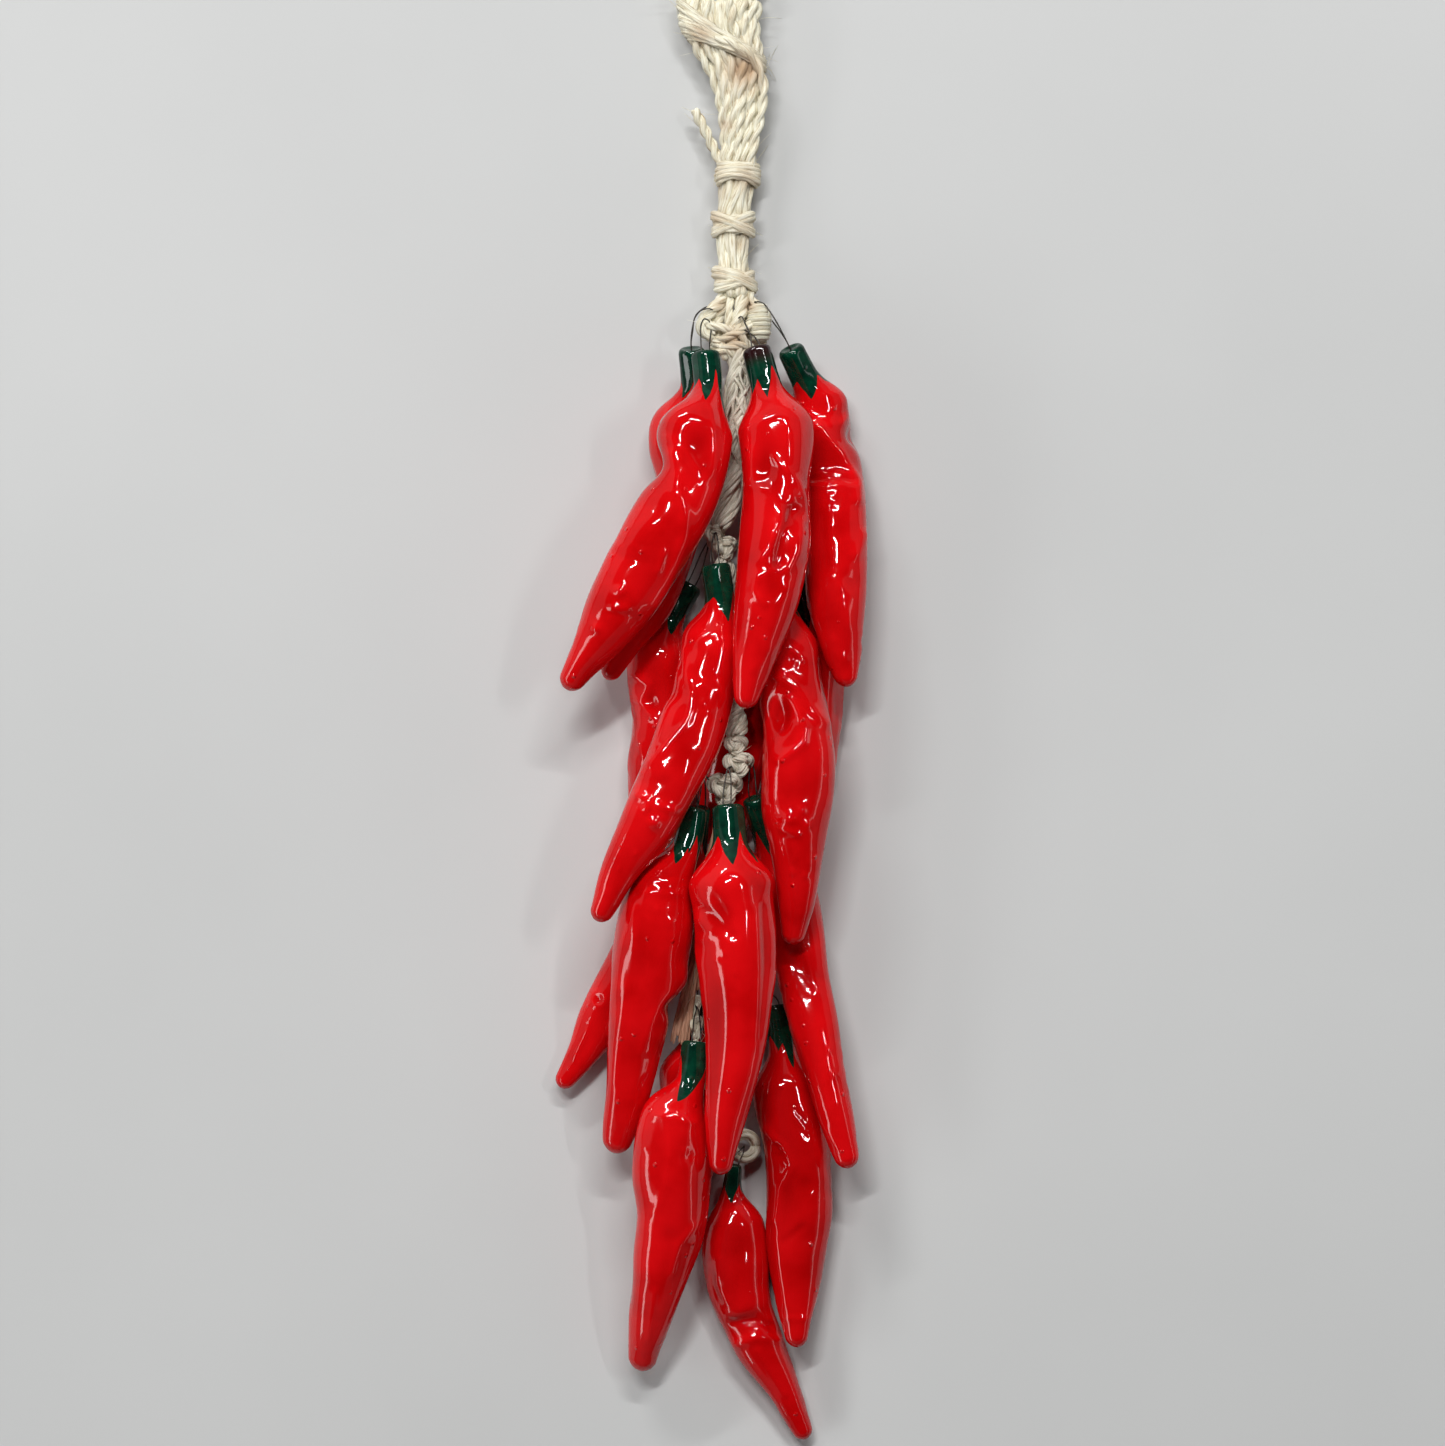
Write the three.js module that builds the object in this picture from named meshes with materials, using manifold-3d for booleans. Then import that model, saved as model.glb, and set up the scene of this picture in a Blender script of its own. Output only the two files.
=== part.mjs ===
// A string of glazed ceramic chillies: each pod hangs by a thin wire hairpin from a knotted,
// braided sisal rope with a hanging loop. The string lies on its back.
// Millimetres. +X is right, +Y runs up the string to the loop, +Z faces the viewer, floor at z = 0.

import * as THREE from 'three';
import { mergeVertices } from 'three/addons/utils/BufferGeometryUtils.js';
import Module from 'manifold-3d';

const manifoldLibrary = await Module();
manifoldLibrary.setup();
const { Manifold, Mesh: ManifoldMesh } = manifoldLibrary;

// ---------------------------------------------------------------- driving dimensions

const REST_LEVEL = 1.6;         // the pods underneath have flat spots here, on which the string lies
const TOUCH_GAP = 0.3;          // air between pieces that touch
const POD_FLATNESS = 0.88;      // front-to-back thickness of a pod over its width
const CORD_DIAMETER = 4.3;      // one twisted sisal cord
const WIRE_DIAMETER = 0.8;      // hairpin wire
const WIRE_LEG_SPACING = 3.4;   // between a hairpin's two legs where they enter the stem
const WIRE_SHOULDER = 0.8;      // share of the way up where the legs stand apart before the bend
const WIRE_BULGE = 0.9;         // how far each leg stands out there
const WIRE_STEPS = 10;
const TANGENT_STEP = 1;         // a curve's direction is taken over this far to each side

const POD_SIDES = 12;
// Where a pod's rings lie, as shares of its length: close together at the stem and at the tip.
const POD_RINGS = [0, 0.085, 0.15, 0.22, 0.31, 0.41, 0.52, 0.64, 0.76, 0.87, 0.96];

// The stations of a pod are [x, y, half-width], from the stem's top to the tip: stem top, neck,
// shoulder, upper, middle, lower, taper and tip. "depth" gives the height of its axis above the
// floor at the stem top, the shoulder, the lower station and the tip.
// A dent is [place along, degrees round from the front, length, width, depth].
// "bend" is where the hairpin turns round the rope.
const DEPTH_STATIONS = [0, 2, 5, 7];
const PODS = [
  {
    name: 'chilli_1_left_back',
    depth: [24, 13, 25, 30],
    stations: [
      [-13, 156, 5.5], [-12, 141, 5.5], [-16, 121, 14.5], [-16, 97, 13],
      [-24, 74, 12.5], [-32, 51, 11], [-42, 31, 6.5], [-48, 18, 3.5],
    ],
    dents: [[0.38, -70, 9, 9, 1.5]],
    bend: [-9, 174, 15],
  },
  {
    name: 'chilli_1_right',
    depth: [26, 13, 26, 32],
    stations: [
      [28, 156, 5.5], [35, 141, 6], [40, 122, 14.5], [45, 101, 14],
      [46, 78, 13.5], [47, 55, 13], [50, 29, 8], [52, 15, 3.5],
    ],
    dents: [[0.27, 75, 6, 9, 1.8], [0.38, 15, 4, 12, 1.6], [0.62, -20, 12, 5, 1.2]],
    bend: [21, 174, 17],
  },
  {
    name: 'chilli_1_left',
    depth: [34, 42, 49, 42],
    stations: [
      [-7, 154, 6], [-6, 141, 6], [-12, 121, 16], [-15, 101, 15],
      [-25, 79, 15.5], [-38, 57, 14.5], [-52, 34, 9.5], [-65, 14, 4.5],
    ],
    dents: [[0.28, -5, 11, 7, 2], [0.42, -65, 5, 10, 2.4], [0.6, -25, 5, 9, 1.2]],
    bend: [-4.5, 167.5, 25.6],
  },
  {
    name: 'chilli_1_centre',
    depth: [32, 39, 51, 54],
    stations: [
      [14, 156, 6], [18, 140, 6.5], [22, 122, 15.5], [23, 99, 14],
      [22, 78, 15], [19, 57, 14], [13, 28, 9], [9, 6, 4],
    ],
    dents: [[0.35, -20, 10, 6, 2], [0.47, 45, 6, 9, 1.6], [0.59, 12, 9, 6, 1.8]],
    bend: [12.5, 170.5, 26.6],
  },
  {
    name: 'chilli_2_left_back',
    depth: [9, 12, 12, 20],
    stations: [
      [-13, 58, 5], [-21, 44, 5.5], [-26, 26, 13.5], [-24, 7, 13.5],
      [-26, -14, 13.5], [-28, -32, 11], [-32, -51, 6.5], [-36, -62, 3.5],
    ],
    dents: [[0.4, -30, 8, 6, 1.8], [0.5, -75, 10, 6, 1.2]],
    bend: [-6, 75, 18.5],
  },
  {
    name: 'chilli_2_back',
    depth: [8, 12, 11, 8],
    stations: [
      [6, 34, 5], [8, 23, 5.5], [8, 6, 13], [6, -11, 13.5],
      [3, -28, 12.5], [1, -41, 10], [-1, -49, 5.5], [-1, -54, 3],
    ],
    dents: [[0.5, 20, 10, 6, 1.5]],
    bend: [4.5, 49, 14],
  },
  {
    name: 'chilli_2_right_back',
    depth: [9, 11, 12, 22],
    stations: [
      [30, 60, 5.5], [35, 45, 6], [38, 28, 12], [39, 8, 12],
      [36, -13, 12], [33, -28, 10.5], [32, -42, 6.5], [31, -54, 3.5],
    ],
    dents: [[0.45, 60, 9, 6, 1.5]],
    bend: [6, 73.5, 18],
  },
  {
    name: 'chilli_2_left',
    depth: [36, 38, 49, 47],
    stations: [
      [-3, 66, 6], [-1, 50, 6], [-4, 30, 13], [-10, 7, 13.5],
      [-18, -15, 13.5], [-28, -36, 12.5], [-41, -59, 8.5], [-52, -82, 4],
    ],
    dents: [[0.52, 25, 11, 8, 2.2], [0.7, -15, 5, 10, 1.4]],
    bend: [-3, 79, 30.2],
  },
  {
    name: 'chilli_2_right',
    depth: [28, 33, 37, 33],
    stations: [
      [21, 62, 6], [24, 48, 6], [28, 29, 12.5], [31, 10, 13],
      [31, -13, 15], [31, -34, 14.5], [31, -65, 9.5], [29, -92, 4],
    ],
    dents: [[0.26, 5, 5, 5, 1.4], [0.4, -50, 10, 7, 2.4], [0.55, 35, 10, 5, 1.5]],
    bend: [7, 74.5, 25.5],
  },
  {
    name: 'chilli_3_left_back',
    depth: [25, 12, 11, 10],
    stations: [
      [-9, -35, 4.5], [-11, -50, 5], [-17, -68, 12.5], [-28, -86, 12.5],
      [-39, -107, 12], [-50, -124, 10], [-59, -139, 6], [-68, -152, 3.5],
    ],
    dents: [[0.7, 10, 8, 5, 1.4]],
    bend: [-8, -22, 24],
  },
  {
    name: 'chilli_3_right',
    depth: [26, 12, 24, 28],
    stations: [
      [13, -31, 5], [18, -47, 5.5], [25, -67, 13], [31, -89, 12],
      [35, -110, 10.5], [39, -132, 9.5], [45, -156, 8.5], [53, -185, 4.5],
    ],
    dents: [[0.48, -10, 9, 5, 1.5]],
    bend: [12, -17, 26],
  },
  {
    name: 'chilli_3_left',
    depth: [35, 38.5, 31, 22],
    stations: [
      [-12, -35, 5.5], [-15, -51, 6], [-25, -69, 13], [-29, -91, 16],
      [-33, -113, 13.5], [-37, -136, 11], [-41, -161, 8.5], [-45, -179, 5],
    ],
    dents: [[0.44, 60, 9, 7, 1.6], [0.5, -25, 12, 5, 1.2]],
    bend: [-9, -22, 33],
  },
  {
    name: 'chilli_3_centre',
    depth: [41, 46, 46, 44],
    stations: [
      [2, -34, 6.5], [3, -48, 7], [4, -68, 16], [6, -93, 16.5],
      [6, -117, 14.5], [4, -140, 11.5], [1, -164, 8.5], [-1, -187, 4],
    ],
    dents: [[0.29, -28, 6, 7, 2], [0.45, -30, 14, 4, 1.4], [0.4, 50, 16, 4, 1.2]],
    bend: [2.5, -19, 37.6],
  },
  {
    name: 'chilli_4_left_back',
    depth: [6, 10.5, 8, 6],
    stations: [
      [-9, -116, 5], [-11, -130, 5], [-13, -147, 13], [-13, -165, 12],
      [-13, -184, 10], [-16, -200, 7.5], [-18, -213, 5.5], [-20, -224, 3.5],
    ],
    dents: [],
    bend: [-9.5, -106, 14],
  },
  {
    name: 'chilli_4_right',
    depth: [8, 13, 14, 20],
    stations: [
      [22, -118, 5.5], [25, -136, 6], [26, -153, 13.5], [31, -176, 14],
      [32, -198, 13.5], [31, -219, 12.5], [31, -241, 8.5], [31, -260, 4],
    ],
    dents: [[0.42, -35, 5, 4, 1.4], [0.67, 20, 4, 9, 1.6], [0.55, -25, 12, 4, 1.2]],
    bend: [-8, -110, 15.5],
  },
  {
    name: 'chilli_4_left',
    depth: [34, 36, 29, 14],
    stations: [
      [-11, -132, 5.5], [-13, -148, 6], [-20, -165, 14], [-21, -185, 16],
      [-21, -204, 14.5], [-25, -225, 12.5], [-30, -247, 9], [-34, -270, 5.5],
    ],
    dents: [[0.33, 28, 5, 5, 1.6], [0.66, 45, 12, 5, 1.8]],
    bend: [-10.5, -119, 23.4],
  },
  {
    name: 'chilli_end',
    depth: [16, 11, 10, 8],
    stations: [
      [5, -184, 3], [4, -194, 4], [5, -209, 12], [5, -224, 13.5],
      [8, -241, 12], [16, -260, 10.5], [26, -278, 7], [35, -299, 3.5],
    ],
    dents: [[0.54, -10, 4, 12, 2.2], [0.4, -50, 9, 4, 1.2]],
    bend: [8.6, -177.5, 13.4],
  },
];

// The rope's pieces, as [x, y, height above the floor, half-width, half-thickness] along each one.
const NECK = [
  [0, 301.5, 12.6, 17.5, 7.2], [0, 292, 12.8, 16.5, 7.4], [5.5, 275, 12.8, 13.5, 7.4],
  [7.5, 258, 12.6, 10, 7.2], [7, 229, 12.6, 8, 6.8], [5, 208, 12.6, 7.5, 6.6],
  [5, 192, 13.3, 7, 6.2], [6, 176.8, 16.6, 6.8, 6],
];
const UPPER_BRAID = [
  [6, 153.4, 21.5, 6, 5.2], [6, 133, 22.5, 6, 5.2], [5, 115, 24, 5.8, 5],
  [4, 99, 25, 6, 5.2], [-0.5, 83.8, 24.5, 6, 5.2],
];
const MIDDLE_BRAID = [
  [0, 66, 23.5, 5.5, 4.8], [4, 50, 20.5, 5.5, 4.8], [6, 30, 21.5, 5.5, 4.8],
  [6, 12, 28.5, 5.5, 4.8], [5.5, -3.2, 31, 5.5, 4.8],
];
const LOWER_STRAND = [
  [1.5, -36, 28.5, 4.5, 3.5], [-4, -57, 26, 3.5, 3], [-8, -76, 23.5, 3.5, 3],
  [-12, -94, 19, 3, 2.6], [-12, -111, 18, 3.5, 3],
];
const TAIL_STRAND = [
  [-11, -132.2, 20.5, 3, 2.6], [-9, -144, 26, 3.5, 3], [-3, -156, 22.5, 3.5, 3],
  [3.4, -168.4, 12, 3, 2.6],
];
const LOOSE_END = [
  [-3.8, 236.6, 10.5, 1.9, 1.9], [-7.5, 245, 11, 2.1, 2.1], [-12.5, 254.5, 12, 1.6, 1.6],
];

// Bindings of thinner cord round the neck, and the frayed fibre wrap that runs slantwise round
// its top: how far up the string, how high, how thick, and how far the right side dips.
const BANDS = [
  { name: 'fibre_wrap', middle: 284, height: 12, thickness: 2, dip: 10 },
  { name: 'binding_upper', middle: 229, height: 9, thickness: 2.4, dip: 0 },
  { name: 'binding_middle', middle: 208, height: 10, thickness: 2.4, dip: 0 },
  { name: 'binding_lower', middle: 187, height: 9, thickness: 2.4, dip: 0 },
];
// A band's outer face, as [share of its thickness, share of its half-height].
const BAND_PROFILE = [[0, -1], [0.8, -0.75], [1, 0], [0.8, 0.75], [0, 1]];
const BAND_STEPS = 16;
const NECK_LOBES = 5;           // cords that show in the neck's outline
const LOBE_RELIEF = 0.06;       // how far each stands out, as a share of the half-width
const BAND_GROWTH = 1.14;       // a band's inside over the neck's half-width, clear of its lobes

// Knots, as lobes [x, y, height, half-width, half-length, half-thickness].
const KNOTS = [
  {
    name: 'knot_top',
    lobes: [
      [-2, 165, 19.5, 6, 5.5, 5], [15, 166, 19.5, 5, 8.5, 6.5], [6.5, 165, 19.5, 7, 11, 7.5],
    ],
  },
  { name: 'knot_middle', lobes: [[-3.5, 78, 24, 5, 6, 5], [1, 73, 24, 5.5, 6, 5]] },
  {
    name: 'knot_lower',
    lobes: [[5.5, -9, 31, 5.5, 5, 5], [6.5, -17, 31, 7, 6, 5.5], [1, -27, 29.5, 8, 8, 6]],
  },
  { name: 'knot_tail', lobes: [[-11.5, -117.5, 18.5, 3, 6, 3], [-11, -126, 20, 3, 6, 3]] },
];

const LOBE_SIDES = 10;
const LOBE_ROWS = 6;

// The coil that ends the rope.
const END_RING = {
  centre: [9, -176.5, 10], outerRadius: 7.3, holeRadius: 2.4, thickness: 4.6, tubeSides: 8, steps: 16,
};

// The hanging loop above the neck: a horseshoe of three cords. Its fullness is the power of the
// sine that its outline follows, so that a smaller one makes a rounder shoulder. Its thickness is
// a share of its width, and its relief is how far each cord stands out, as on the neck.
const LOOP = {
  footY: 302.3, footSpread: 9, crownY: 366, halfSpan: 26, sideFullness: 0.8, crownFullness: 0.85,
  footHeight: 11, crownHeight: 8.1, halfWidth: 6.4, thickness: 0.95, cords: 3, relief: 0.07,
  steps: 20, sides: 9, tangentStep: 0.02,
};

// ---------------------------------------------------------------- materials

const RED_GLAZE = { color: 0xd8101c, roughness: 0.12, metalness: 0 };
const SISAL = { color: 0xd6c9a4, roughness: 0.95, metalness: 0 };
const DARK_WIRE = { color: 0x33302c, roughness: 0.45, metalness: 0.8 };

const string = new THREE.Group();

function addPiece(name, geometry, look) {
  const mesh = new THREE.Mesh(geometry, new THREE.MeshStandardMaterial(look));
  mesh.name = name;
  string.add(mesh);
}

// ---------------------------------------------------------------- curves through stations

function distancesAlong(stations) {
  const distances = [0];
  for (let i = 1; i < stations.length; i += 1) {
    const [x0, y0] = stations[i - 1];
    const [x1, y1] = stations[i];
    distances.push(distances[i - 1] + Math.hypot(x1 - x0, y1 - y0));
  }
  return distances;
}

// A smooth curve through values at given places. A steady one never overshoots its values.
function smoothValue(places, values, at, steady) {
  const last = places.length - 1;
  const rise = (i) => (values[i + 1] - values[i]) / (places[i + 1] - places[i]);
  const slope = (i) => {
    if (i === 0) return rise(0);
    if (i === last) return rise(last - 1);
    const before = rise(i - 1);
    const after = rise(i);
    if (steady) return before * after <= 0 ? 0 : (2 * before * after) / (before + after);
    const spanBefore = places[i] - places[i - 1];
    const spanAfter = places[i + 1] - places[i];
    return (before * spanAfter + after * spanBefore) / (spanBefore + spanAfter);
  };
  let i = 0;
  while (i < last - 1 && at > places[i + 1]) i += 1;
  const span = places[i + 1] - places[i];
  const u = (at - places[i]) / span;
  return (1 + 2 * u) * (1 - u) ** 2 * values[i]
    + u * (1 - u) ** 2 * span * slope(i)
    + u * u * (3 - 2 * u) * values[i + 1]
    - u * u * (1 - u) * span * slope(i + 1);
}

// ---------------------------------------------------------------- swept solids

// Rings of points in, one closed solid out: flat ends, or a pointed end where "point" is given.
function solidFromRings(rings, { point = null, joined = false } = {}) {
  const sides = rings[0].length;
  const positions = [];
  const faces = [];
  for (const ring of rings) {
    for (const corner of ring) positions.push(corner.x, corner.y, corner.z);
  }
  const spans = joined ? rings.length : rings.length - 1;
  for (let i = 0; i < spans; i += 1) {
    const next = (i + 1) % rings.length;
    for (let j = 0; j < sides; j += 1) {
      const k = (j + 1) % sides;
      const [a, b] = [i * sides + j, i * sides + k];
      const [c, d] = [next * sides + j, next * sides + k];
      faces.push(a, c, b, b, c, d);
    }
  }
  const cap = (ring, centre, reversed) => {
    const hub = positions.length / 3;
    positions.push(centre.x, centre.y, centre.z);
    for (let j = 0; j < sides; j += 1) {
      const a = ring * sides + j;
      const b = ring * sides + ((j + 1) % sides);
      if (reversed) faces.push(hub, b, a);
      else faces.push(hub, a, b);
    }
  };
  if (!joined) {
    cap(0, middleOf(rings[0]), false);
    cap(rings.length - 1, point ?? middleOf(rings.at(-1)), true);
  }
  const geometry = new THREE.BufferGeometry();
  geometry.setAttribute('position', new THREE.Float32BufferAttribute(positions, 3));
  geometry.setIndex(faces);
  geometry.computeVertexNormals();
  return geometry;
}

function middleOf(ring) {
  const middle = new THREE.Vector3();
  for (const corner of ring) middle.add(corner);
  return middle.divideScalar(ring.length);
}

// Which way a curve runs at a place along it.
function directionAt(axis, at, end, step = TANGENT_STEP) {
  return axis(Math.min(at + step, end)).sub(axis(Math.max(at - step, 0))).normalize();
}

// Axes across a curve: "side" points to the viewer's right of a curve that runs downwards,
// and "front" points towards the viewer.
function axesAcross(direction) {
  const side = new THREE.Vector3(0, 0, 1).cross(direction).normalize();
  const front = direction.clone().cross(side).normalize();
  return { side, front };
}

// ---------------------------------------------------------------- chillies

function chilliCurve({ stations, depth }) {
  const places = distancesAlong(stations);
  const depthPlaces = DEPTH_STATIONS.map((i) => places[i]);
  const length = places.at(-1);
  const value = (column, at) => smoothValue(places, stations.map((s) => s[column]), at, column === 2);
  const axis = (at) => new THREE.Vector3(
    value(0, at), value(1, at), smoothValue(depthPlaces, depth, at, true),
  );
  const tipRadius = stations.at(-1)[2];
  const halfWidth = (at) => {
    const intoTip = Math.max(0, (at - (length - tipRadius)) / tipRadius);
    return value(2, at) * Math.sqrt(Math.max(0, 1 - intoTip ** 2));
  };
  return { length, axis, halfWidth };
}

function dentDepth(dents, along, angle, length, radius) {
  let total = 0;
  for (const [place, degrees, dentLength, dentWidth, depth] of dents) {
    const alongAway = ((along - place) * length) / dentLength;
    let turn = angle - (degrees * Math.PI) / 180;
    turn = Math.atan2(Math.sin(turn), Math.cos(turn));
    const roundAway = (turn * radius) / dentWidth;
    total += depth * Math.exp(-(alongAway ** 2) - roundAway ** 2);
  }
  return total;
}

function chilli(pod) {
  const { length, axis, halfWidth } = chilliCurve(pod);
  const rings = POD_RINGS.map((along) => {
    const at = along * length;
    const centre = axis(at);
    const { side, front } = axesAcross(directionAt(axis, at, length));
    const radius = halfWidth(at);
    return Array.from({ length: POD_SIDES }, (_, j) => {
      const angle = (2 * Math.PI * (j + 0.5)) / POD_SIDES;
      const reach = radius - dentDepth(pod.dents, along, angle, length, radius);
      const corner = centre.clone()
        .addScaledVector(side, reach * Math.sin(angle))
        .addScaledVector(front, reach * POD_FLATNESS * Math.cos(angle));
      corner.z = Math.max(corner.z, REST_LEVEL);
      return corner;
    });
  });
  return solidFromRings(rings, { point: axis(length) });
}

// ---------------------------------------------------------------- wires

// A hairpin from the stem's flat top to its bend at the rope, of wire with a square section.
function hairpin(pod) {
  const { length, axis } = chilliCurve(pod);
  const downwards = directionAt(axis, TANGENT_STEP, length);
  const { side } = axesAcross(downwards);
  const bend = new THREE.Vector3(...pod.bend);
  const leg = (sign) => axis(0)
    .addScaledVector(downwards, -(TOUCH_GAP + WIRE_DIAMETER / 2))
    .addScaledVector(side, (sign * WIRE_LEG_SPACING) / 2);
  const shoulder = (sign) => leg(sign)
    .lerp(bend, WIRE_SHOULDER)
    .addScaledVector(side, sign * WIRE_BULGE);
  const route = new THREE.CatmullRomCurve3([leg(-1), shoulder(-1), bend, shoulder(1), leg(1)]);
  const half = WIRE_DIAMETER / 2;
  const section = new THREE.Shape([
    new THREE.Vector2(half, 0), new THREE.Vector2(0, half),
    new THREE.Vector2(-half, 0), new THREE.Vector2(0, -half),
  ]);
  return new THREE.ExtrudeGeometry(section, { steps: WIRE_STEPS, extrudePath: route });
}

// ---------------------------------------------------------------- rope

function ropeCurve(stations) {
  const places = distancesAlong(stations);
  const value = (column, at) => smoothValue(places, stations.map((s) => s[column]), at, column > 1);
  const axis = (at) => new THREE.Vector3(value(0, at), value(1, at), value(2, at));
  const outline = (at, angle, growth) => ({
    across: value(3, at) * growth * Math.sin(angle),
    forward: value(4, at) * growth * Math.cos(angle),
  });
  return { length: places.at(-1), axis, outline };
}

// A rope piece along its stations, with an outline of "lobes" cords side by side, or plaited: its
// sides swing left and right by "swing" and back every "pitch" millimetres.
function ropePiece(stations, { sides = 8, spacing = 6, lobes = 0, pitch = Infinity, swing = 0 } = {}) {
  const { length, axis, outline } = ropeCurve(stations);
  const count = Math.max(2, Math.round(length / spacing));
  const rings = Array.from({ length: count + 1 }, (_, i) => {
    const at = (length * i) / count;
    const { side, front } = axesAcross(directionAt(axis, at, length));
    const sideways = swing * Math.cos((2 * Math.PI * at) / pitch);
    return Array.from({ length: sides }, (_, j) => {
      const angle = (2 * Math.PI * j) / sides;
      const growth = lobes ? 1 + LOBE_RELIEF * Math.cos(lobes * angle) : 1;
      const { across, forward } = outline(at, angle, growth);
      return axis(at)
        .addScaledVector(side, across + sideways * Math.sin(angle) ** 2)
        .addScaledVector(front, forward);
    });
  });
  return solidFromRings(rings);
}

// A band round the neck, open in the middle, with a rounded outer face. The neck runs so nearly
// straight down that a height's place along it is the drop from its top.
function band({ middle, height, thickness, dip }) {
  const neck = ropeCurve(NECK);
  const top = NECK[0][1];
  const rings = Array.from({ length: BAND_STEPS }, (_, i) => {
    const angle = (2 * Math.PI * i) / BAND_STEPS;
    return BAND_PROFILE.map(([outShare, upShare]) => {
      const out = TOUCH_GAP + outShare * thickness;
      const y = middle + (upShare * height) / 2 - dip * Math.sin(angle);
      const { across, forward } = neck.outline(top - y, angle, BAND_GROWTH);
      const corner = neck.axis(top - y);
      corner.x += across + out * Math.sin(angle);
      corner.y = y;
      corner.z += forward + out * Math.cos(angle);
      return corner;
    });
  });
  return solidFromRings(rings, { joined: true });
}

// A knot is the union of its lobes, each one an ellipsoid.
function knot(lobes) {
  const solids = lobes.map(([x, y, z, halfWidth, halfLength, halfThickness]) => {
    const lobe = new THREE.SphereGeometry(1, LOBE_SIDES, LOBE_ROWS);
    lobe.scale(halfWidth, halfLength, halfThickness);
    lobe.translate(x, y, z);
    lobe.deleteAttribute('normal');
    lobe.deleteAttribute('uv');
    const merged = mergeVertices(lobe);
    return new Manifold(new ManifoldMesh({
      numProp: 3,
      vertProperties: merged.getAttribute('position').array,
      triVerts: new Uint32Array(merged.index.array),
    }));
  });
  const joined = solids.reduce((whole, lobe) => whole.add(lobe)).getMesh();
  const geometry = new THREE.BufferGeometry();
  geometry.setAttribute('position', new THREE.Float32BufferAttribute(joined.vertProperties, 3));
  geometry.setIndex(Array.from(joined.triVerts));
  geometry.computeVertexNormals();
  return geometry;
}

function endRing({ centre, outerRadius, holeRadius, thickness, tubeSides, steps }) {
  const tubeRadius = (outerRadius - holeRadius) / 2;
  const geometry = new THREE.TorusGeometry(holeRadius + tubeRadius, tubeRadius, tubeSides, steps);
  geometry.scale(1, 1, thickness / (2 * tubeRadius));
  geometry.translate(...centre);
  return geometry;
}

// The line that the hanging loop follows from its right foot over the crown to its left foot.
function loopAxis({
  footY, footSpread, crownY, halfSpan, sideFullness, crownFullness, footHeight, crownHeight,
}) {
  return (t) => {
    const sweep = Math.PI * t;
    const spread = footSpread + (halfSpan - footSpread) * Math.sin(sweep) ** sideFullness;
    return new THREE.Vector3(
      NECK[0][0] + spread * Math.cos(sweep),
      footY + (crownY - footY) * Math.sin(sweep) ** crownFullness,
      footHeight + (crownHeight - footHeight) * Math.sin(sweep),
    );
  };
}

// The hanging loop: a pear-shaped horseshoe whose two feet stand squarely on the neck's top.
function hangingLoop(loop) {
  const { halfWidth, thickness, cords, relief, steps, sides, tangentStep } = loop;
  const axis = loopAxis(loop);
  const rings = Array.from({ length: steps + 1 }, (_, i) => {
    const t = i / steps;
    const direction = directionAt(axis, t, 1, tangentStep);
    if (i === 0) direction.set(0, 1, 0);
    if (i === steps) direction.set(0, -1, 0);
    const { side, front } = axesAcross(direction);
    return Array.from({ length: sides }, (_, j) => {
      const angle = (2 * Math.PI * j) / sides;
      const reach = halfWidth * (1 + relief * Math.cos(cords * angle));
      return axis(t)
        .addScaledVector(side, reach * Math.sin(angle))
        .addScaledVector(front, reach * thickness * Math.cos(angle));
    });
  });
  return solidFromRings(rings);
}

// ---------------------------------------------------------------- the string

for (const pod of PODS) {
  addPiece(pod.name, chilli(pod), RED_GLAZE);
  addPiece(pod.name.replace('chilli', 'wire'), hairpin(pod), DARK_WIRE);
}

addPiece('hanging_loop', hangingLoop(LOOP), SISAL);
addPiece('rope_neck', ropePiece(NECK, { sides: 3 * NECK_LOBES, spacing: 9, lobes: NECK_LOBES }), SISAL);
for (const binding of BANDS) addPiece(binding.name, band(binding), SISAL);
addPiece('loose_cord_end', ropePiece(LOOSE_END, { sides: 6, spacing: 7 }), SISAL);
for (const { name, lobes } of KNOTS) addPiece(name, knot(lobes), SISAL);
const plait = { pitch: 2 * CORD_DIAMETER, swing: 0.5, spacing: CORD_DIAMETER };
addPiece('rope_upper_braid', ropePiece(UPPER_BRAID, plait), SISAL);
addPiece('rope_middle_braid', ropePiece(MIDDLE_BRAID, plait), SISAL);
addPiece('rope_lower_strand', ropePiece(LOWER_STRAND, { spacing: 9 }), SISAL);
addPiece('rope_tail_strand', ropePiece(TAIL_STRAND), SISAL);
addPiece('end_ring', endRing(END_RING), SISAL);

// The middle of the whole goes over the origin, and the flat spots go down to z = 0.
const boxCentre = new THREE.Box3().setFromObject(string).getCenter(new THREE.Vector3());
string.position.set(-boxCentre.x, -boxCentre.y, -REST_LEVEL);

export default string;
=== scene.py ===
"""A string of glazed ceramic chillies on a sisal rope, lying on its back on a pale floor.

Sizes are millimetres in the string's own frame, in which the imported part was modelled, until
to_frame() turns them into metres in the row frame. A pod's "front" faces the viewer, +Z.
"""

import math

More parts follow.
